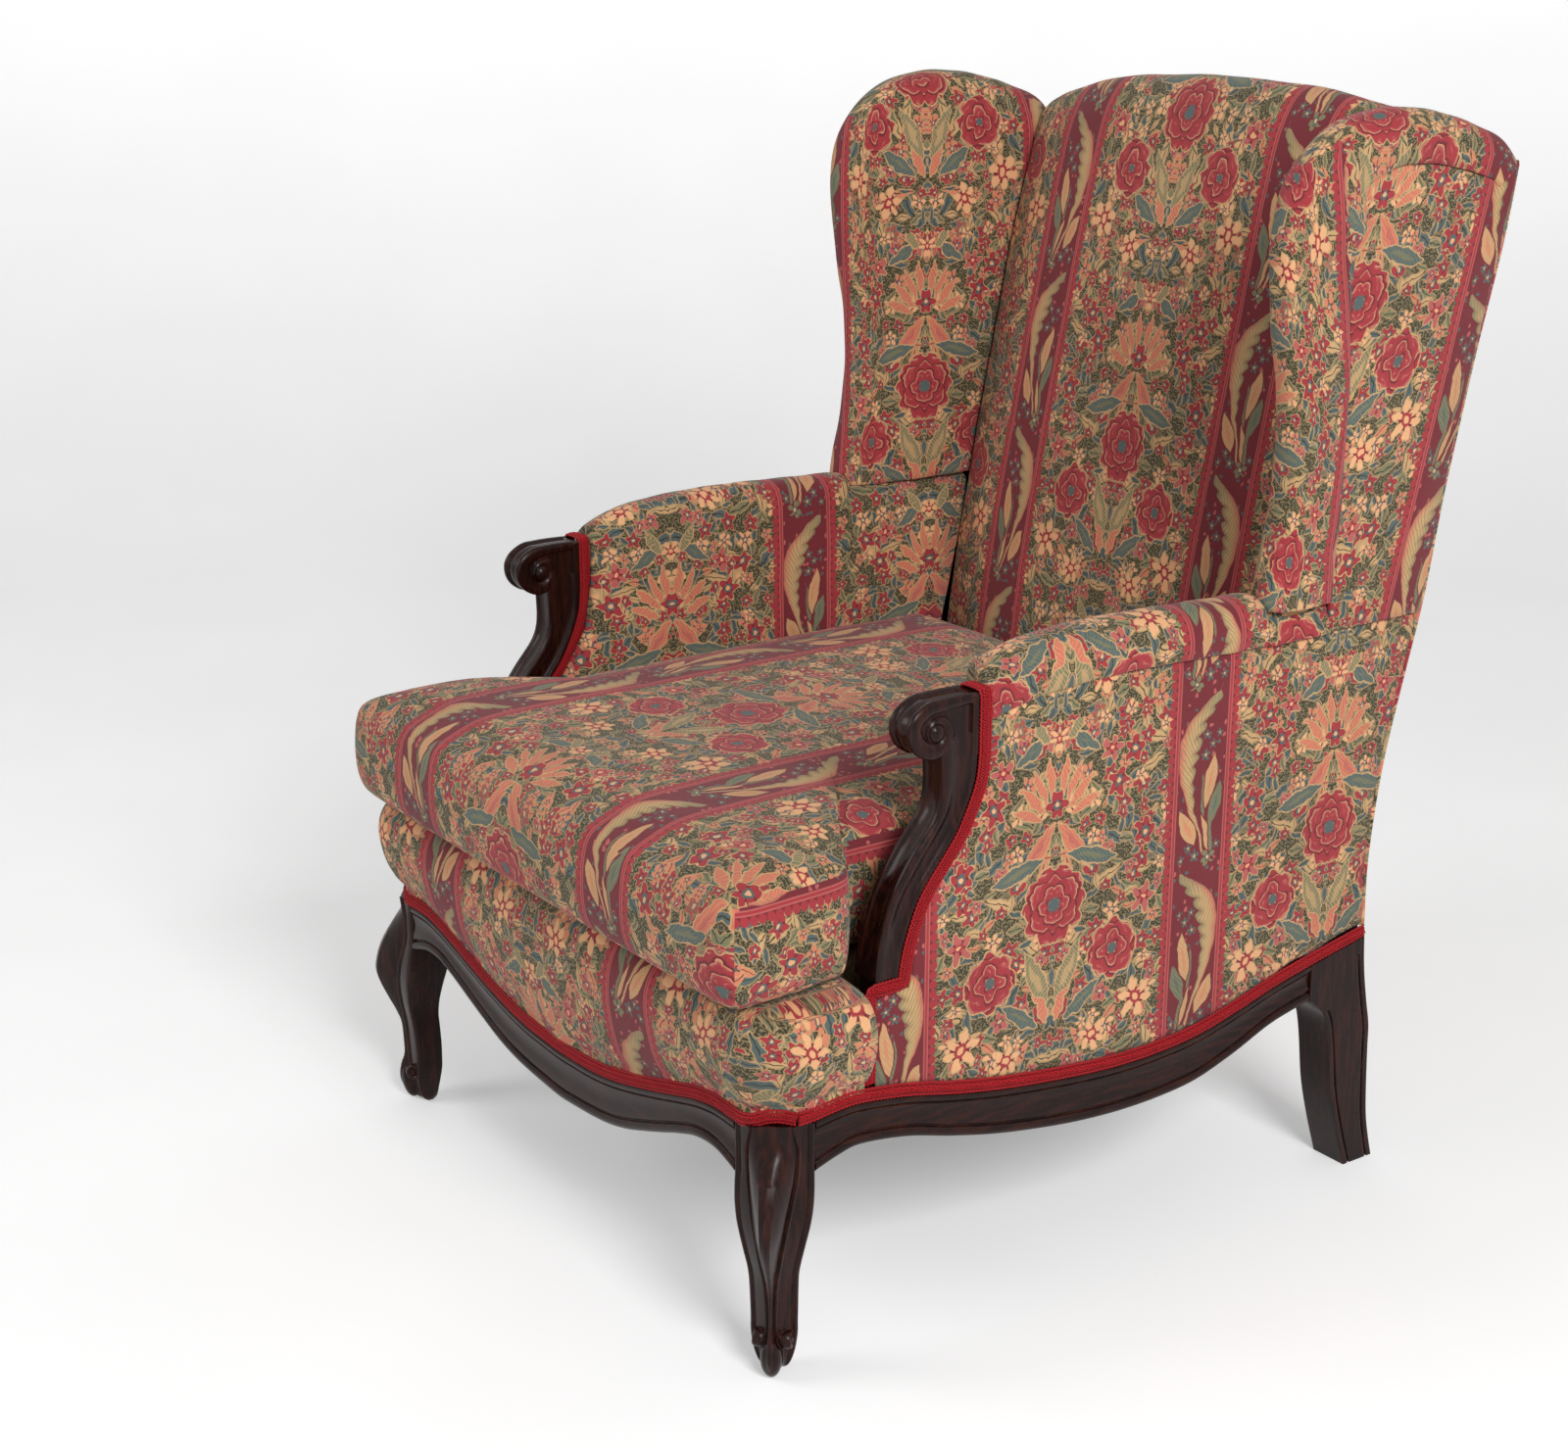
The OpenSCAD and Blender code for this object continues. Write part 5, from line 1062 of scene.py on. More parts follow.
def curve(rows, steps):
    """Smooth run through rows of values, with so many steps in each span."""
    rows = np.array(rows, float)
    last = len(rows) - 1
    made = []
    for i in range(last):
        a, b, c, d = rows[max(i - 1, 0)], rows[i], rows[i + 1], rows[min(i + 2, last)]
        for k in range(steps):
            t = k / steps
            bend, twist = 2 * a - 5 * b + 4 * c - d, 3 * b - a - 3 * c + d
            made.append(0.5 * (2 * b + (c - a) * t + bend * t**2 + twist * t**3))
    made.append(rows[last])
    return np.array(made)


def tube(rings):
    """Closed form through rings of equal counts, its two ends filled."""
    count = len(rings[0])
    points = [tuple(point) for ring in rings for point in ring]
    faces = []
    for k in range(len(rings) - 1):
        low, high = k * count, (k + 1) * count
        faces += [(low + i, low + (i + 1) % count, high + (i + 1) % count, high + i) for i in range(count)]
    faces += [tuple(reversed(range(count))), tuple(range(len(points) - count, len(points)))]
    return points, faces


def lathe(profile, centre, axis, count=28):
    """Closed form turned about an axis, from rows of radius and height."""
    axis = Vector(axis).normalized()
    first = axis.orthogonal().normalized()
    second = axis.cross(first)
    turns = [2 * math.pi * k / count for k in range(count)]
    rings = [[Vector(centre) + axis * h + (first * math.cos(t) + second * math.sin(t)) * max(r, 0.01) for t in turns]
             for r, h in profile]
    return tube(rings)


def slab(outline, low, high, ease=1.2):
    """Plate of an outline in Y and Z, from one X to another, with eased edges."""
    outline = np.array(outline, float)
    step = np.roll(outline, -1, 0) - np.roll(outline, 1, 0)
    inward = np.stack([-step[:, 1], step[:, 0]], 1) / np.linalg.norm(step, axis=1)[:, None]
    area = np.sum(outline[:, 0] * np.roll(outline[:, 1], -1) - outline[:, 1] * np.roll(outline[:, 0], -1))
    inward *= math.copysign(1, area)
    rings = []
    for x, inset in ((low, ease), (low + ease * 0.3, ease * 0.3), (low + ease, 0), (high - ease, 0),
                     (high - ease * 0.3, ease * 0.3), (high, ease)):
        rings.append([(x, y, z) for y, z in outline + inward * inset])
    return tube(rings)


def joined(name, forms, sign):
    """One solid from closed forms drawn in millimetres, on the left or the right of the chair."""
    pieces = []
    for points, faces in forms:
        piece = new_piece(name, [(x * MM * sign, y * MM, z * MM) for x, y, z in points], faces)
        work = bmesh.new()
        work.from_mesh(piece.data)
        bmesh.ops.remove_doubles(work, verts=work.verts, dist=WELD)
        bmesh.ops.recalc_face_normals(work, faces=work.faces)
        work.to_mesh(piece.data)
        work.free()
        pieces.append(piece)
    first = pieces[0]
    for other in pieces[1:]:
        cut = first.modifiers.new("join", "BOOLEAN")
        cut.operation, cut.object, cut.solver = "UNION", other, "MANIFOLD"
    bake_modifiers(first)
    for other in pieces[1:]:
        bpy.data.objects.remove(other)
    mark_sharp(first, CRISP)
    return first


def rail_rings(edges, steps, first, last, place):
    """Rings of a moulded rail between its two ends. The place makes a point of a station, a reach and a height."""
    rings = []
    for at, low, up in curve(edges, steps):
        at = min(max(at, first), last)
        heights = {0: low, 1: up, 2: RAIL_TOP}
        rings.append([
            place(at, out, heights.get(share, low + share * (up - low)) + rise) for out, share, rise in RAIL_SECTION
        ])
    return rings


# Share of the knee's height from which its top follows the rails
KNEE_FROM = 0.97


def knee_rise(turn):
    """Rise of the corner's top, by the share of the way round from the front rail to the side rail."""
    return 5.7 * turn + 4 * math.sin(math.pi * turn)


def leg_ring(height, tip, leaf, face, inner):
    """Ring of the front leg, in distances inward from its outer corner along the front and along the side."""
    tip, leaf, face, inner = (value * BLOCK for value in (tip, leaf, face, inner))
    edge = face + 2.2 + leaf * ROOT_HALF
    lip = face + (leaf + BEAD * 0.35) / ROOT_HALF
    room = max(inner - lip, 0.5)
    depth = min(room / 9, 1)

    def swept(toward_tip, bulge):
        """Point of the leaf's rounded face, part of the way from its edge to the tip of the knee."""
        middle = tip * toward_tip + edge * (1 - toward_tip)
        return middle + bulge, middle - bulge

    def near(reach, part):
        return min(reach, room * part)

    # Leaf, its lip, the hollow beside it, then the bead and the inner edge
    half = [
        swept(0.9, leaf * 0.25), swept(0.7, leaf * 0.55 * ROOT_HALF), swept(0.35, leaf * 0.88 * ROOT_HALF),
        (edge + leaf * ROOT_HALF, face + 2.4), (lip - 0.9, face + 0.6), (lip, face - 0.2),
        (lip + near(1.6, 0.14), face + 0.4 * depth), (lip + near(2.6, 0.24), face + 1.9 * depth),
        ((lip + inner) / 2 - near(1.5, 0.1), face + 1.4 * depth), (inner - near(7.6, 0.5), face + 1.6 * depth),
        (inner - near(6.2, 0.4), face + 2.6 * depth), (inner - near(5.2, 0.32), face + 1.0 * depth),
        (inner - near(3.4, 0.2), face - 0.2), (inner - near(1.2, 0.07), face + 0.5), (inner, face + 2.4),
        (inner, face * 0.45 + inner * 0.55), (inner - 1.4, inner - BEAD * 0.7)]
    heel = inner - BEAD * 0.3
    ring = [(tip, tip), *half, (heel, heel), *[(b, a) for a, b in reversed(half)]]
    made = []
    for a, b in ring:
        rise = height * KNEE_TOP
        if height > KNEE_FROM:
            turn = min(max((b - a + BLOCK) / (2 * BLOCK), 0), 1)
            rise += (height - KNEE_FROM) / (1 - KNEE_FROM) * knee_rise(turn)
        made.append((OUTER - a, FRONT + b, rise))
    return made


def front_leg_forms():
    """Cabriole leg, its block behind the rails, and the rolled toe with a knob on each side."""
    rings = [leg_ring(*row) for row in curve(LEG_SHARES, 5)]
    forms = [tube(rings), tube([[(x, y, z) for x, y in LEG_BLOCK] for z in (226, RAIL_TOP)])]
    forms.append(lathe(KNOB, (337.4, -374.6, 35), (ROOT_HALF, ROOT_HALF, 0.1)))
    forms.append(lathe(KNOB, (319.6, -392.4, 35), (-ROOT_HALF, -ROOT_HALF, 0.1)))
    toe = [(9.5 * math.sin(t), -19 * math.cos(t)) for t in np.linspace(0.02, math.pi - 0.02, 14)]
    forms.append(lathe(toe, (334, -389, 19.3), (0.12, -0.12, 1)))
    return forms


def support_ring(z, rear, front, relief):
    """Ring of the arm support's blade: moulded outer side, hollowed front, inner side and flat back."""
    wide = BLADE_OUT - BLADE_IN
    outer = [(BLADE_OUT - off * relief, rear + (front - rear) * t, z) for t, off in BLADE_SIDE]
    face = [(BLADE_OUT - wide * t, front + off * relief, z) for t, off in BLADE_FORE]
    inner = [(BLADE_IN + off * relief, rear + (front - rear) * t, z) for t, off in reversed(BLADE_SIDE)]
    return outer + face + inner


def round_eye(angle, reach):
    """Depth and height of a point at an angle, in degrees, and a reach from the volute's eye."""
    turn = math.radians(angle)
    return EYE[0] + reach * math.cos(turn), EYE[1] + reach * math.sin(turn)


def volute_rings():
    """Moulded band that runs forward over the head and winds in to the eye."""
    sweep = [(*round_eye(a, r), a) for a, r in curve(VOLUTE, 5)]
    straight = [(-180, 582, 0), (-190, 582.6, 20), (-201, 582.9, 40), (-212, 583.0, 60)]
    path = np.array([*straight, *sweep])
    angles, reaches = np.array(VOLUTE, float).T
    rings = []
    for i, (y, z, a) in enumerate(path):
        step = path[min(i + 1, len(path) - 1), :2] - path[max(i - 1, 0), :2]
        step /= np.linalg.norm(step)
        inward = np.array([-step[1], step[0]])
        if i < len(straight):
            wide = 9 + 3.5 * i / len(straight)
        else:
            # The band fills the room up to its next turn, less at its start and near the eye
            reach = np.interp(a, angles, reaches)
            wide = reach - np.interp(a + 360, angles, reaches) + 0.6
            wide = min(wide, 12.5 + 0.035 * (a - 90) if a < 180 else 16)
            wide = max(wide if a < 360 else min(wide, 0.52 * reach + 1), 4)
        half = ((15.5, 1.7), (12, 2.2), (9.4, 3.3), (8.3, 3.4), (7.6, 2.4), (6.4, 0.9), (4.6, 0.2), (2.8, 0.2),
                (1.5, 0.9), (0.7, 2.0), (0.15, 0.22 * wide + 1.6), (0, 0.48 * wide), (0.5, 0.74 * wide),
                (1.7, 0.91 * wide), (3.4, wide))
        ring = [(BLADE_OUT - off, *((y, z) + inward * deep)) for off, deep in half]
        ring += [(BLADE_IN + off, *((y, z) + inward * deep)) for off, deep in reversed(half[1:])]
        rings.append(ring)
    return rings


def support_forms():
    """Arm support: its blade, the rolled band, the ground and the eye of the volute, and what joins it to the frame."""
    blade = [
        support_ring(z, rear, front, min(max((z - 350) / 45, 0.25), 1)) for z, rear, front in curve(BLADE, 3)
    ]
    disc = [round_eye(a, r) for a, r in curve([(a, r - 2.5) for a, r in VOLUTE if a <= 285], 3)]
    ground = [(-181, 579), (-212, 580), *disc, (-214, 528), (-181, 528)]
    edging = [(-180, 581), (-187, 581), (-187, 560), (-187.4, 528), (-180, 528)]
    rows = curve(BLADE[:-2], 2)
    tongue = [(y + 13.2, z) for z, y, _ in rows] + [(-166.8, 576), (-182, 576)]
    tongue += [(y - 2, z) for z, y, _ in reversed(rows)]
    middle = (BLADE_IN + BLADE_OUT) / 2
    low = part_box("arm_support_left")[0][2] / MM
    foot = [[(x, y, z) for x, y in SUPPORT_FOOT] for z in (low, 346)]
    return [
        tube(blade), tube(volute_rings()), slab(ground, BLADE_IN + 3.2, BLADE_OUT - 3.2),
        slab(edging, BLADE_IN, BLADE_OUT), lathe(EYE_TURNING, (middle, *EYE), (1, 0, 0)), slab(tongue, 314, 336, 0.5),
        tube(foot)
    ]


# Pieces


class ShowWood(bpy.types.Operator):
    """Rails, legs, posts and arm supports in dark polished mahogany"""

    bl_idname = "armchair.show_wood"
    bl_label = "Show-wood"

    def execute(self, context):
        edges = [(-x, low, up) for x, low, up in FRONT_EDGES[:0:-1]] + list(FRONT_EDGES)
        rings = rail_rings(edges, 5, -HALF_RAIL, HALF_RAIL, lambda at, out, z: (at, FRONT + RAIL_T - out, z))
        shown = [("front_rail", "rail_front", "mahogany_across", [tube(rings)], 1.0)]
        rings = rail_rings(SIDE_EDGES, 6, SIDE_FROM, SIDE_TO, lambda at, out, z: (OUTER - RAIL_T + out, at, z))
        for side, sign in SIDES.items():
            shown.append((f"side_rail_{side}", f"rail_side_{side}", "mahogany_deep", [tube(rings)], sign))
            shown.append((f"front_leg_{side}", f"leg_front_{side}", "mahogany_upright", front_leg_forms(), sign))
            shown.append((f"arm_support_{side}", f"support_{side}", "mahogany_upright", support_forms(), sign))
        for node, name, material, forms, sign in shown:
            finish_with(joined(name, forms, sign), node, material)
        dress_node("rear_rail", "mahogany_across")
        for side in SIDES:
            carved(f"rear_post_{side}", f"post_rear_{side}", "mahogany_upright")
        return {"FINISHED"}


class HiddenFrame(bpy.types.Operator):
    """Beech framing under the covers, corner blocks, their screws and the seat springs"""

    bl_idname = "armchair.hidden_frame"
    bl_label = "Hidden frame"

    def execute(self, context):
        for side in SIDES:
            for part in ("arm_rail", "arm_stay", "wing_stile", "wing_top"):
                dress_node(f"{part}_{side}", "beech")
        for part in ("corner_blocks", "crest_rail", "back_stay"):
            dress_node(part, "beech")
        dress_node("corner_block_screws", "zinc_screw")
        dress_node("seat_springs", "spring_wire")
        return {"FINISHED"}


def flat_cloth(points, facing):
    """Cloth laid level: across the chair and front to back."""
    return points[:, 0], points[:, 1]


def upright_cloth(points, facing):
    """Cloth hung across the chair: across and up."""
    return points[:, 0], points[:, 2]


RAILS = ["rail_side_left", "rail_side_right", "rail_front", "rear_rail"]
# Sheets under the covers: node, name, flat size, how it is held, what it rests on, flat area, cloth and slot
UNDER_SHEETS = (
    ("bottom_cloth", "cloth_bottom", (0.63, 0.651), "stretched", RAILS, None, "cambric", "black_cambric"),
    ("seat_webbing", "webbing_seat", (0.63, 0.651), "stretched", RAILS, 0.268, "jute", "linen"),
    ("back_webbing", "webbing_back", (0.624, 0.624), "stretched", ["crest_rail", "back_stay"], 0.202, "jute", "linen"),
    ("spring_hessian", "hessian_springs", (0.72, 0.74), "laid", ["seat_springs"], None, "jute", "linen"),
)


class UnderSeat(bpy.types.Operator):
    """Webbing, hessian, stuffed deck and the black cloth under the seat"""

    bl_idname = "armchair.under_seat"
    bl_label = "Under the seat"

    def execute(self, context):
        for node, name, flat, held, rests_on, area, material, slot in UNDER_SHEETS:
            piece = stuffed(node, name, 60, 1.0, 1, 0.0, 0.0)
            lay_cloth(piece, upright_cloth if node == "back_webbing" else flat_cloth)
            finish_with(piece, node, material)
        piece = stuffed("seat_platform", "platform_stuffed", 60, 0.5, 2)
        lay_cloth(piece, flat_cloth)
        finish_with(piece, "seat_platform", "linen")
        return {"FINISHED"}


# Run of the cloth up the middle of the back and over its top, as depth and height
BACK_PATH = ((0.263, 0.345), (0.262, 0.4), (0.275, 0.5), (0.294, 0.6), (0.318, 0.7), (0.342, 0.8), (0.362, 0.9),
             (0.37, 0.96), (0.385, 1.0), (0.405, 1.03), (0.425, 1.044), (0.445, 1.03), (0.452, 0.985))
# Where the middle of a panel lies across the inside and the outside back, where the cloth starts along its run, and how
# much it is pulled in over the inside back's hollow
BACK_MIDDLE, COVER_MIDDLE, BACK_START, BACK_PULL = 0.14, 0.152, 0.16, 1.11


class Back(bpy.types.Operator):
    """Padded inside back and the tacked outside back"""

    bl_idname = "armchair.back"
    bl_label = "Back"

    def execute(self, context):
        piece = stuffed("inside_back", "back_padded", 55, 0.5, 2, 0.0008)

        def cloth(points, facing):
            return (points[:, 0] - BACK_MIDDLE) * BACK_PULL, along_path(BACK_PATH, points[:, 1:]) - BACK_START

        lay_cloth(piece, cloth)
        finish_with(piece, "inside_back", "tapestry")
        piece = stretched("outside_back", "back_cover")
        lay_cloth(piece, lambda points, facing: (points[:, 0] - COVER_MIDDLE, points[:, 2]))
        finish_with(piece, "outside_back", "tapestry")
        return {"FINISHED"}


# Run of the cloth up the inside of an arm, over its roll and down outside, as distance from the middle and height
ARM_PATH = ((0.2865, 0.26), (0.2865, 0.5), (0.29, 0.58), (0.305, 0.608), (0.319, 0.616), (0.333, 0.608),
            (0.343, 0.592), (0.346, 0.565), (0.346, 0.26))
# Where the middle of a panel and of its repeat lie on the arms and on the panels outside them
ARM_MIDDLE, ARM_START = 0.09, 0.32
SIDE_MIDDLE, ROSE_HEIGHT, ROSE_PLACE = 0.082, 0.371, 0.17
# Width of the braid above a rail, with its glue line, and how far the covers go down behind it
BRAID_ABOVE, BRAID_REACH, TUCK = 13.5, 2.2, 0.005


def up_edge(edges, places):
    """Upper edge of a rail's moulding at places along it."""
    rows = curve(edges, 6)
    return np.interp(places, rows[:, 0], rows[:, 2])


def tuck_behind_braid(points):
    """Takes the lower edge of an outside arm a little way down behind its braid."""
    edge = up_edge(SIDE_EDGES, np.clip(points[:, 1] / MM, -350, 240)) + BRAID_ABOVE
    points[points[:, 2] / MM < edge + BRAID_REACH, 2] -= TUCK
    return points


class Arms(bpy.types.Operator):
    """Padded arms and the panels outside them"""

    bl_idname = "armchair.arms"
    bl_label = "Arms"

    def execute(self, context):
        def inside(points, facing):
            section = np.stack([np.abs(points[:, 0]), points[:, 2]], 1)
            return points[:, 1] - ARM_MIDDLE, along_path(ARM_PATH, section) - ARM_START

        def outside(points, facing):
            return points[:, 1] - SIDE_MIDDLE, points[:, 2] - ROSE_HEIGHT + ROSE_PLACE

        for side in SIDES:
            piece = stuffed(f"inside_arm_{side}", f"arm_padded_{side}", 55, 0.5, 2, 0.0006)
            lay_cloth(piece, inside)
            finish_with(piece, f"inside_arm_{side}", "tapestry")
            piece = stretched(f"outside_arm_{side}", f"arm_cover_{side}", tuck_behind_braid)
            lay_cloth(piece, outside)
            finish_with(piece, f"outside_arm_{side}", "tapestry")
        return {"FINISHED"}


# Inner and outer half round of a wing: distance from the middle of the chair, and behind the wing's front
WING_INNER, WING_OUTER = (0.289, 0.03), (0.351, 0.03)
# Run of the cloth round a wing's section, by the same two distances
WING_RUN = ((0.289, 0.3), WING_INNER, (0.295, 0.012), (0.307, 0.002), (0.32, 0), (0.335, 0.003), (0.346, 0.014),
            WING_OUTER, (0.351, 0.3))
# Seam up the outside of a wing, as height and depth
WING_SEAM = ((0.56, 0.232), (0.649, 0.229), (0.791, 0.244), (0.915, 0.219), (0.99, 0.205))
# The cloth over the top takes the faces that point up by more than WING_TOP. On the near wing it also takes those that
# are further out than WING_OUTSIDE and more than SEAM_GAP behind the seam.
WING_TOP, WING_OUTSIDE, SEAM_GAP = 0.62, 0.33, 0.004
# How much longer the cloth runs over the top than it measures across, and the edge that it runs from on the near wing
TOP_RUN, TOP_EDGE = 1.3, 0.345
# Levels at which the front of a wing is looked for, and how far above and below each
FRONT_LEVELS, FRONT_REACH = 24, 0.02
# Where the pattern starts on a wing: its height, by the seam, over the top and by the rose on the inner face
WING_START, SEAM_START, TOP_START, ROSE_DEPTH, ROSE_START = 0.53, 0.028, 0.43, 0.256, 0.1725
# Outside wings: middle of a panel where the height is COVER_LEVEL, its lean, and where the repeat starts
COVER_DEPTH, COVER_LEVEL, COVER_LEAN, COVER_START = 0.415, 0.87, 0.25, 0.70


def wing_cloth(sign):
    """Cloth of a wing: laid from the seam forward on the near wing, from the rose on the inner face on the other."""
    seam_at, seam_y = np.array(WING_SEAM).T
    inner_round, outer_round = along_path(WING_RUN, np.array([WING_INNER, WING_OUTER]))

    def cloth(points, facing):
        side, depth, height = np.abs(points[:, 0]), points[:, 1], points[:, 2]
        levels = np.linspace(height.min(), height.max(), FRONT_LEVELS)
        fronts = [points[np.abs(height - level) < FRONT_REACH, 1].min() for level in levels]
        run = along_path(WING_RUN, np.stack([side, depth - np.interp(height, levels, fronts)], 1))
        over = facing[:, 2] > WING_TOP
        rise = height - WING_START
        if sign > 0:
            middle = np.repeat(points.reshape(-1, 4, 3).mean(axis=1), 4, axis=0)
            behind_seam = middle[:, 1] > np.interp(middle[:, 2], seam_at, seam_y) + SEAM_GAP
            over |= (middle[:, 0] > WING_OUTSIDE) & behind_seam
            ahead = outer_round - run
            front = np.interp(height, seam_at, seam_y) - depth
            u = np.where(ahead > 0, front + ahead, front) + SEAM_START
            return np.where(over, depth - TOP_START, u), rise + np.where(over, TOP_RUN * (TOP_EDGE - side), 0)
        ahead = run - inner_round
        u = np.where((ahead > 0) & ~over, ROSE_DEPTH - depth + ahead, ROSE_DEPTH - depth)
        return u + ROSE_START, rise + np.where(over, TOP_RUN * (side - WING_INNER[0]), 0)

    return cloth


class Wings(bpy.types.Operator):
    """Padded wings and the panels outside them"""

    bl_idname = "armchair.wings"
    bl_label = "Wings"

    def execute(self, context):
        def outside(points, facing):
            lean = COVER_LEAN * (points[:, 2] - COVER_LEVEL)
            return points[:, 1] - COVER_DEPTH - lean, points[:, 2] - COVER_START

        for side, sign in SIDES.items():
            piece = stuffed(f"wing_{side}", f"wing_padded_{side}", 55, 0.5, 2, 0.0006)
            lay_cloth(piece, wing_cloth(sign))
            finish_with(piece, f"wing_{side}", "tapestry")
            piece = stretched(f"outside_wing_{side}", f"wing_cover_{side}")
            lay_cloth(piece, outside)
            finish_with(piece, f"outside_wing_{side}", "tapestry")
        return {"FINISHED"}


# Middle of a panel across the seat
SEAT_MIDDLE = 0.155
# Border: where its ends turn back, its side and front faces, and the height where its top starts
BORDER_TURN, BORDER_SIDE, BORDER_FRONT, BORDER_TOP = 0.325, 0.345, 0.4, 0.338


class Border(bpy.types.Operator):
    """Stuffed border round the front of the seat"""

    bl_idname = "armchair.border"
    bl_label = "Front border"

    def execute(self, context):
        piece = stuffed("seat_front_border", "border_stuffed", 55, 0.5, 2, 0.0006)

        def cloth(points, facing):
            x, y, z = points.T
            end = np.sign(x) * (BORDER_SIDE + (y + BORDER_FRONT))
            u = np.where(np.abs(x) > BORDER_TURN, end, x)
            return u - SEAT_MIDDLE, z - np.where(z > BORDER_TOP, y, -BORDER_FRONT)

        lay_cloth(piece, cloth)
        finish_with(piece, "seat_front_border", "tapestry")
        return {"FINISHED"}


# Cushion: its front edge and the height from which its cloth hangs there, and the same for its two ends
CUSHION_FRONT, HANG_FRONT, CUSHION_END, HANG_END = 0.45, 0.43, 0.335, 0.46
# How far sideways a face of an end points, and how far up and forward a face of the front points
END_FACING, FRONT_RISE, FRONT_FACING = 0.75, 0.62, -0.2
# Depth from which the arms hold the cushion in, depth from which the back does, and height below which the deck does
ARMS_FROM, BACK_FROM, DECK_BELOW = -0.3, 0.2, 0.37


class Cushion(bpy.types.Operator):
    """Loose T-shaped cushion, filled by a short cloth simulation"""

    bl_idname = "armchair.cushion"
    bl_label = "Seat cushion"

    def execute(self, context):
        piece = stuffed("seat_cushion", "cushion_loose", 60, 0.3, 2, 0.0012, 0.0)

        def between_arms(rest, made):
            """Keeps the filled cushion off the arms, the back and the deck under it."""
            inner = (rest[:, 1] > ARMS_FROM) & (np.abs(made[:, 0]) > np.abs(rest[:, 0]))
            made[inner, 0] = rest[inner, 0]
            made[:, 1] = np.where(rest[:, 1] > BACK_FROM, np.minimum(made[:, 1], rest[:, 1]), made[:, 1])
            under = rest[:, 2] < DECK_BELOW
            made[under, 2] = np.maximum(made[under, 2], rest[under, 2])
            return made

        def cloth(points, facing):
            x, y, z = points.T
            ends = np.abs(facing[:, 0]) > END_FACING
            front = (np.abs(facing[:, 2]) < FRONT_RISE) & (facing[:, 1] < FRONT_FACING) & ~ends
            u = np.where(ends, CUSHION_END - (HANG_END - z), x - SEAT_MIDDLE)
            return u, np.where(front, -CUSHION_FRONT - (HANG_FRONT - z), y)

        lay_cloth(piece, cloth)
        filled(piece, settings("stuffing").cushion_swell, between_arms)
        finish_with(piece, "seat_cushion", "tapestry", "cushion")
        return {"FINISHED"}


# Middle of the braid above the edge that it covers, in millimetres
BRAID_RISE = 7


def front_braid_path():
    """Centre line and outward direction of the front braid: along the rail and round the two canted corners."""
    rows = []
    for turn in np.linspace(1, 0.12, 6):
        rows.append((-313 - 29 * turn, -397 + 29 * turn, KNEE_TOP + knee_rise(turn) + BRAID_RISE, -1, -1, 0))
    corner = len(rows)
    for x in np.linspace(-306, 306, 40):
        rows.append((x, -397.6, float(up_edge(FRONT_EDGES, min(abs(x), 295))) + BRAID_RISE, 0, -1, 0))
    rows += [(-x, y, z, 1, -1, 0) for x, y, z, *_ in reversed(rows[:corner])]
    return rows


def side_braid_path():
    """Along the side rail from the front corner to the rear post, where it rises to the rear rail's braid."""
    places = np.linspace(-367, 312, 44)
    heights = up_edge(SIDE_EDGES, np.clip(places, -350, 240)) + 13 * np.clip((places - 240) / 71, 0, 1)
    return [(342.6, y, z + BRAID_RISE, 1, 0, 0) for y, z in zip(places, heights)]


def arm_braid_path():
    """From the front rail up past the support's foot, up its back edge, over its head and down inside."""
    out, into, head = 340.4, 313.2, -173.4
    foot = [(-291.8, z) for z in (254, 275, 300, 322, 332)]
    foot += [(-290.2, 337), (-285, 338.6), (-272, 338.5), (-261, 338.8), (-256.6, 341)]
    blade = [(y + 6.7, z) for z, y, _ in curve(BLADE[:-1], 1) if z > 350] + [(head, z) for z in (545, 562, 576)]
    rows = [(out, y, z, 1, 0, 0) for y, z in foot + blade]
    rows += [(339, head, 581.6, 1, 0, 1), (333, head, 583, 0, 0, 1), (320, head, 583, 0, 0, 1),
             (314.6, head, 581.6, -1, 0, 1)]
    return rows + [(into, y, z, -1, 0, 0) for y, z in reversed(blade)]


def rear_braid_path():
    """Straight across behind the rear rail."""
    return [(x, 312.6, 246, 0, 1, 0) for x in np.linspace(-341, 341, 12)]


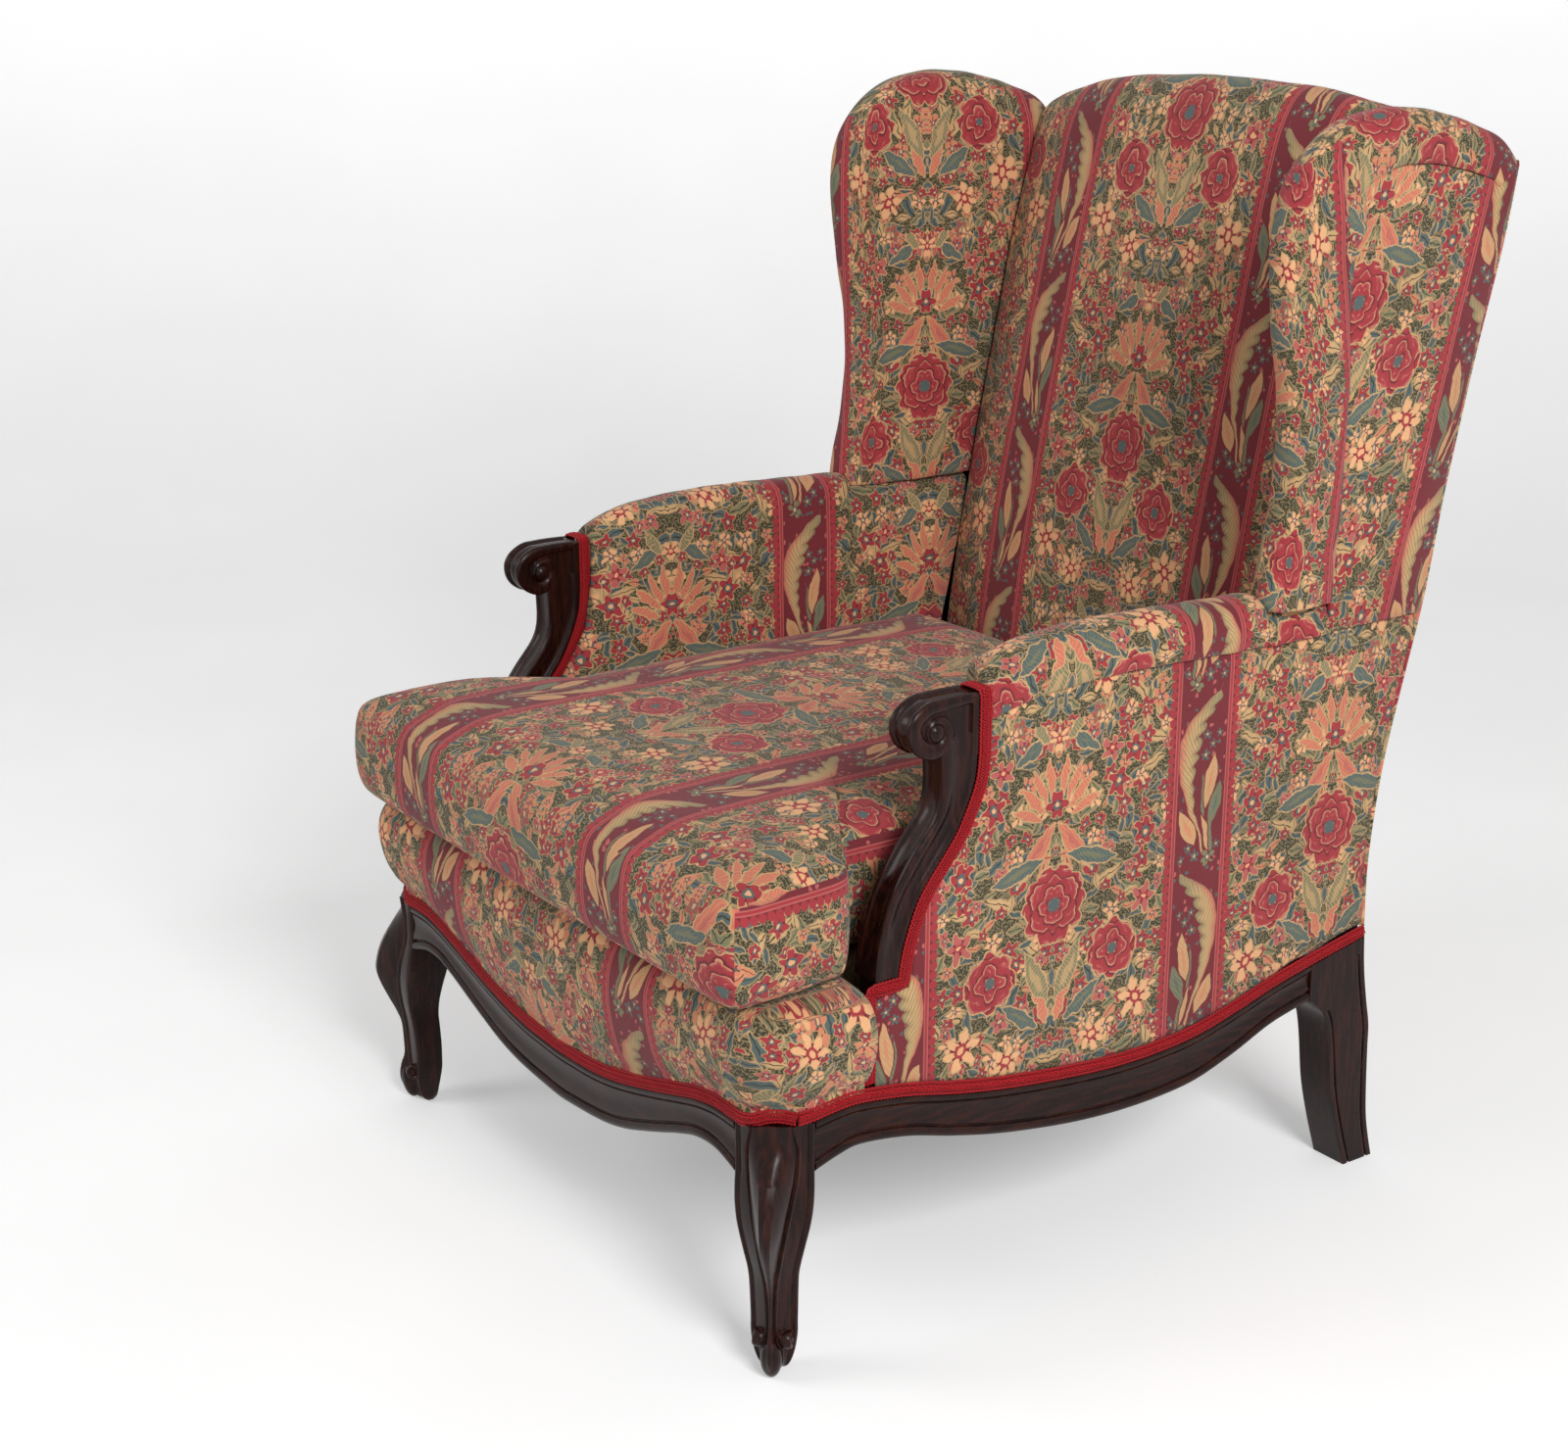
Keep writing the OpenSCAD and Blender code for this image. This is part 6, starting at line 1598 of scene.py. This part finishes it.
def braided(name, rows, sign):
    """Gimp of plaited cords between two edge cords, on a thin tape."""
    s = settings("braid")
    sides, cords = 6, 3
    rows = curve(rows, 4) * (sign, 1, 1, sign, 1, 1)
    rows[:, :3] *= MM
    run = np.concatenate([[0], np.cumsum(np.linalg.norm(np.diff(rows[:, :3], axis=0), axis=1))])
    stations = np.linspace(0, run[-1], int(run[-1] / s.pitch * 8))
    count = len(stations)
    rows = np.stack([np.interp(stations, run, column) for column in rows.T], 1)
    middle, facing = rows[:, :3], rows[:, 3:]
    along = np.gradient(middle, axis=0)
    along /= np.linalg.norm(along, axis=1)[:, None]
    facing -= np.sum(facing * along, 1)[:, None] * along
    facing /= np.linalg.norm(facing, axis=1)[:, None]
    across = np.cross(along, facing)
    phase = stations / s.pitch * 2 * math.pi
    points, faces = [], []

    def lay(offset, height, wide, deep):
        """One cord: its middle's offset across and height over the tape, and its half width and half thickness."""
        base = len(points)
        for turn in (2 * math.pi * k / sides for k in range(sides)):
            shift = offset + math.cos(turn) * wide
            rise = height + math.sin(turn) * deep
            points.append(middle + across * shift[:, None] + facing * rise[:, None])
        index = np.arange(count) + count * np.arange(base, base + sides)[:, None]
        for k in range(sides):
            left, right = index[k], index[(k + 1) % sides]
            faces.extend(zip(left[:-1], right[:-1], right[1:], left[1:]))
        faces.extend([tuple(index[::-1, 0]), tuple(index[:, -1])])

    half = s.width / 2
    level = np.zeros_like(phase)
    lay(level, level - 0.0004, half - 0.0009, 0.0007)
    for k in range(cords):
        turn = phase + 2 * math.pi * k / cords
        lay(np.sin(turn) * 0.0029, 0.0009 + np.sin(2 * turn) * 0.0007, s.cord * 0.56, s.cord * 0.5)
    for way in (-1, 1):
        edge = way * (half - 0.0012 + 0.0004 * np.sin(2 * phase))
        lay(edge, 0.0006 + 0.0004 * np.cos(2 * phase), s.cord * 0.5, s.cord * 0.48)
    piece = new_piece(name, np.concatenate(points), [tuple(int(i) for i in face) for face in faces])
    corners = corners_of(piece)
    lift = np.repeat(np.arange(len(points)) * 0.0007, count)
    set_cloth(piece, np.tile(stations, len(points))[corners], lift[corners])
    return piece


class Gimp(bpy.types.Operator):
    """Crimson braid along the rails, the arm supports and the back"""

    bl_idname = "armchair.gimp"
    bl_label = "Gimp"

    def execute(self, context):
        laid = [
            ("gimp_front", "braid_front", front_braid_path(), 1.0), ("gimp_rear", "braid_rear", rear_braid_path(), 1.0)
        ]
        for side, sign in SIDES.items():
            laid.append((f"gimp_side_{side}", f"braid_side_{side}", side_braid_path(), sign))
            laid.append((f"gimp_arm_{side}", f"braid_arm_{side}", arm_braid_path(), sign))
        for node, name, rows, sign in laid:
            finish_with(braided(name, rows, sign), node, "gimp_silk")
        return {"FINISHED"}


# Lamps: name, the setting of its power, place and width
LAMPS = (("lamp_key", "key", (3.3, -0.9, 2.5), 1.3), ("lamp_fill", "fill", (-1.4, -3.0, 2.3), 1.5))
LAMP_AIM = (0, 0, 0.5)
# Backdrop behind the chair: where the floor starts, where it bends, the bend's radius, its top and its half width
FLOOR_FROM, FLOOR_BEND, BEND, FLOOR_TOP, FLOOR_HALF = -4.0, 2.2, 1.2, 5.0, 6.0
WHITE = (1.0, 1.0, 1.0)
CAMERA_PLACE = (1.90591, -1.48249, 1.20745)


def seen_directly(net):
    """1 where the camera sees a surface itself, in a reflection or through glass."""
    ray = net.node("ShaderNodeLightPath").outputs
    return net.most(net.most(ray["Is Camera Ray"], ray["Is Glossy Ray"]), ray["Is Transmission Ray"])


def lay_floor():
    """Pale floor that bends up into a backdrop, square to the camera, glowing brighter higher up as painted light."""
    s = settings("stage")
    net, shader = new_material("studio_floor", Roughness=0.85, Specular_IOR_Level=0.2)
    place = object_place(net)
    mottle = net.ramp(net.noise(place, 3.0, 3.0), 0.3, 0.7, 0.97, 1.0)
    net.feed(net.blend(mottle, (0, 0, 0), tuple(s.floor)), shader.inputs["Base Color"])
    seen = seen_directly(net)
    net.feed(WHITE, shader.inputs["Emission Color"])
    # Painted light: the glow grows with height, so the backdrop is brighter high up than the floor.
    white = net.ramp(net.parts(place)[2], 0.0, 1.3, s.lift, s.lift + 0.2)
    net.feed(net.times(seen, white), shader.inputs["Emission Strength"])
    path = [(FLOOR_FROM, 0.0), (FLOOR_BEND, 0.0)]
    for turn in np.linspace(0.1, math.pi / 2, 24):
        path.append((FLOOR_BEND + BEND * math.sin(turn), BEND - BEND * math.cos(turn)))
    path.append((FLOOR_BEND + BEND, FLOOR_TOP))
    toward = Vector((math.sin(s.azimuth), -math.cos(s.azimuth), 0))
    side = Vector((toward.y, -toward.x, 0))
    points = [-toward * d + side * w + Vector((0, 0, z)) for d, z in path for w in (-FLOOR_HALF, FLOOR_HALF)]
    faces = [(2 * k, 2 * k + 1, 2 * k + 3, 2 * k + 2) for k in range(len(path) - 1)]
    floor = new_piece("studio_backdrop", points, faces)
    floor.data.materials.append(FINISHES["studio_floor"])


def light_world(scene):
    world = bpy.data.worlds.new("studio")
    scene.world = world
    world.use_nodes = True
    net = Net(world.node_tree)
    back = world.node_tree.nodes["Background"]
    net.feed(WHITE, back.inputs["Color"])
    net.feed(net.ramp(seen_directly(net), 0.0, 1.0, settings("stage").sky, 1.0, False), back.inputs["Strength"])


def hang_lamp(scene, name, power, place, size):
    lamp = bpy.data.lights.new(name, "AREA")
    lamp.energy, lamp.size = power, size
    thing = bpy.data.objects.new(name, lamp)
    scene.collection.objects.link(thing)
    thing.location = place
    thing.rotation_mode = "QUATERNION"
    thing.rotation_quaternion = (Vector(LAMP_AIM) - thing.location).to_track_quat("-Z", "Y")


def place_camera(scene):
    s = settings("stage")
    camera = bpy.data.cameras.new("view")
    camera.sensor_width, camera.lens = 36, s.lens
    eye = bpy.data.objects.new("view", camera)
    scene.collection.objects.link(eye)
    eye.location = CAMERA_PLACE
    level = math.cos(s.elevation)
    away = Vector((math.sin(s.azimuth) * level, -math.cos(s.azimuth) * level, math.sin(s.elevation)))
    eye.rotation_mode = "QUATERNION"
    eye.rotation_quaternion = (-away).to_track_quat("-Z", "Y")
    scene.camera = eye


class Stage(bpy.types.Operator):
    """Pale floor, soft lamps and the camera"""

    bl_idname = "armchair.stage"
    bl_label = "Stage"

    def execute(self, context):
        scene = context.scene
        scene.view_settings.view_transform = "Standard"
        lay_floor()
        light_world(scene)
        for name, power, place, size in LAMPS:
            hang_lamp(scene, name, getattr(settings("stage"), power), place, size)
        place_camera(scene)
        return {"FINISHED"}


GROUPS = {
    "tapestry": TapestrySettings,
    "wood": WoodSettings,
    "braid": BraidSettings,
    "stuffing": StuffingSettings,
    "stage": StageSettings,
}
STEPS = (ShowWood, HiddenFrame, UnderSeat, Back, Arms, Wings, Border, Cushion, Gimp, Stage)


class ArmchairPanel(bpy.types.Panel):
    """Lists the settings and the steps"""

    bl_idname = "VIEW3D_PT_armchair"
    bl_label = "Bergere armchair"
    bl_space_type = "VIEW_3D"
    bl_region_type = "UI"
    bl_category = "Armchair"

    def draw(self, context):
        for name, group in GROUPS.items():
            box = self.layout.box()
            box.label(text=name.capitalize())
            for key in group.__annotations__:
                box.prop(settings(name), key)
        for step in STEPS:
            self.layout.operator(step.bl_idname)


def register():
    for kind in (*GROUPS.values(), *STEPS, ArmchairPanel):
        bpy.utils.register_class(kind)
    for name, group in GROUPS.items():
        setattr(bpy.types.Scene, "armchair_" + name, bpy.props.PointerProperty(type=group))


def unregister():
    for name in GROUPS:
        delattr(bpy.types.Scene, "armchair_" + name)
    for kind in reversed((*GROUPS.values(), *STEPS, ArmchairPanel)):
        bpy.utils.unregister_class(kind)


def main():
    register()
    make_materials()
    for step in STEPS:
        group, name = step.bl_idname.split(".")
        getattr(getattr(bpy.ops, group), name)()


if __name__ == "__main__":
    main()
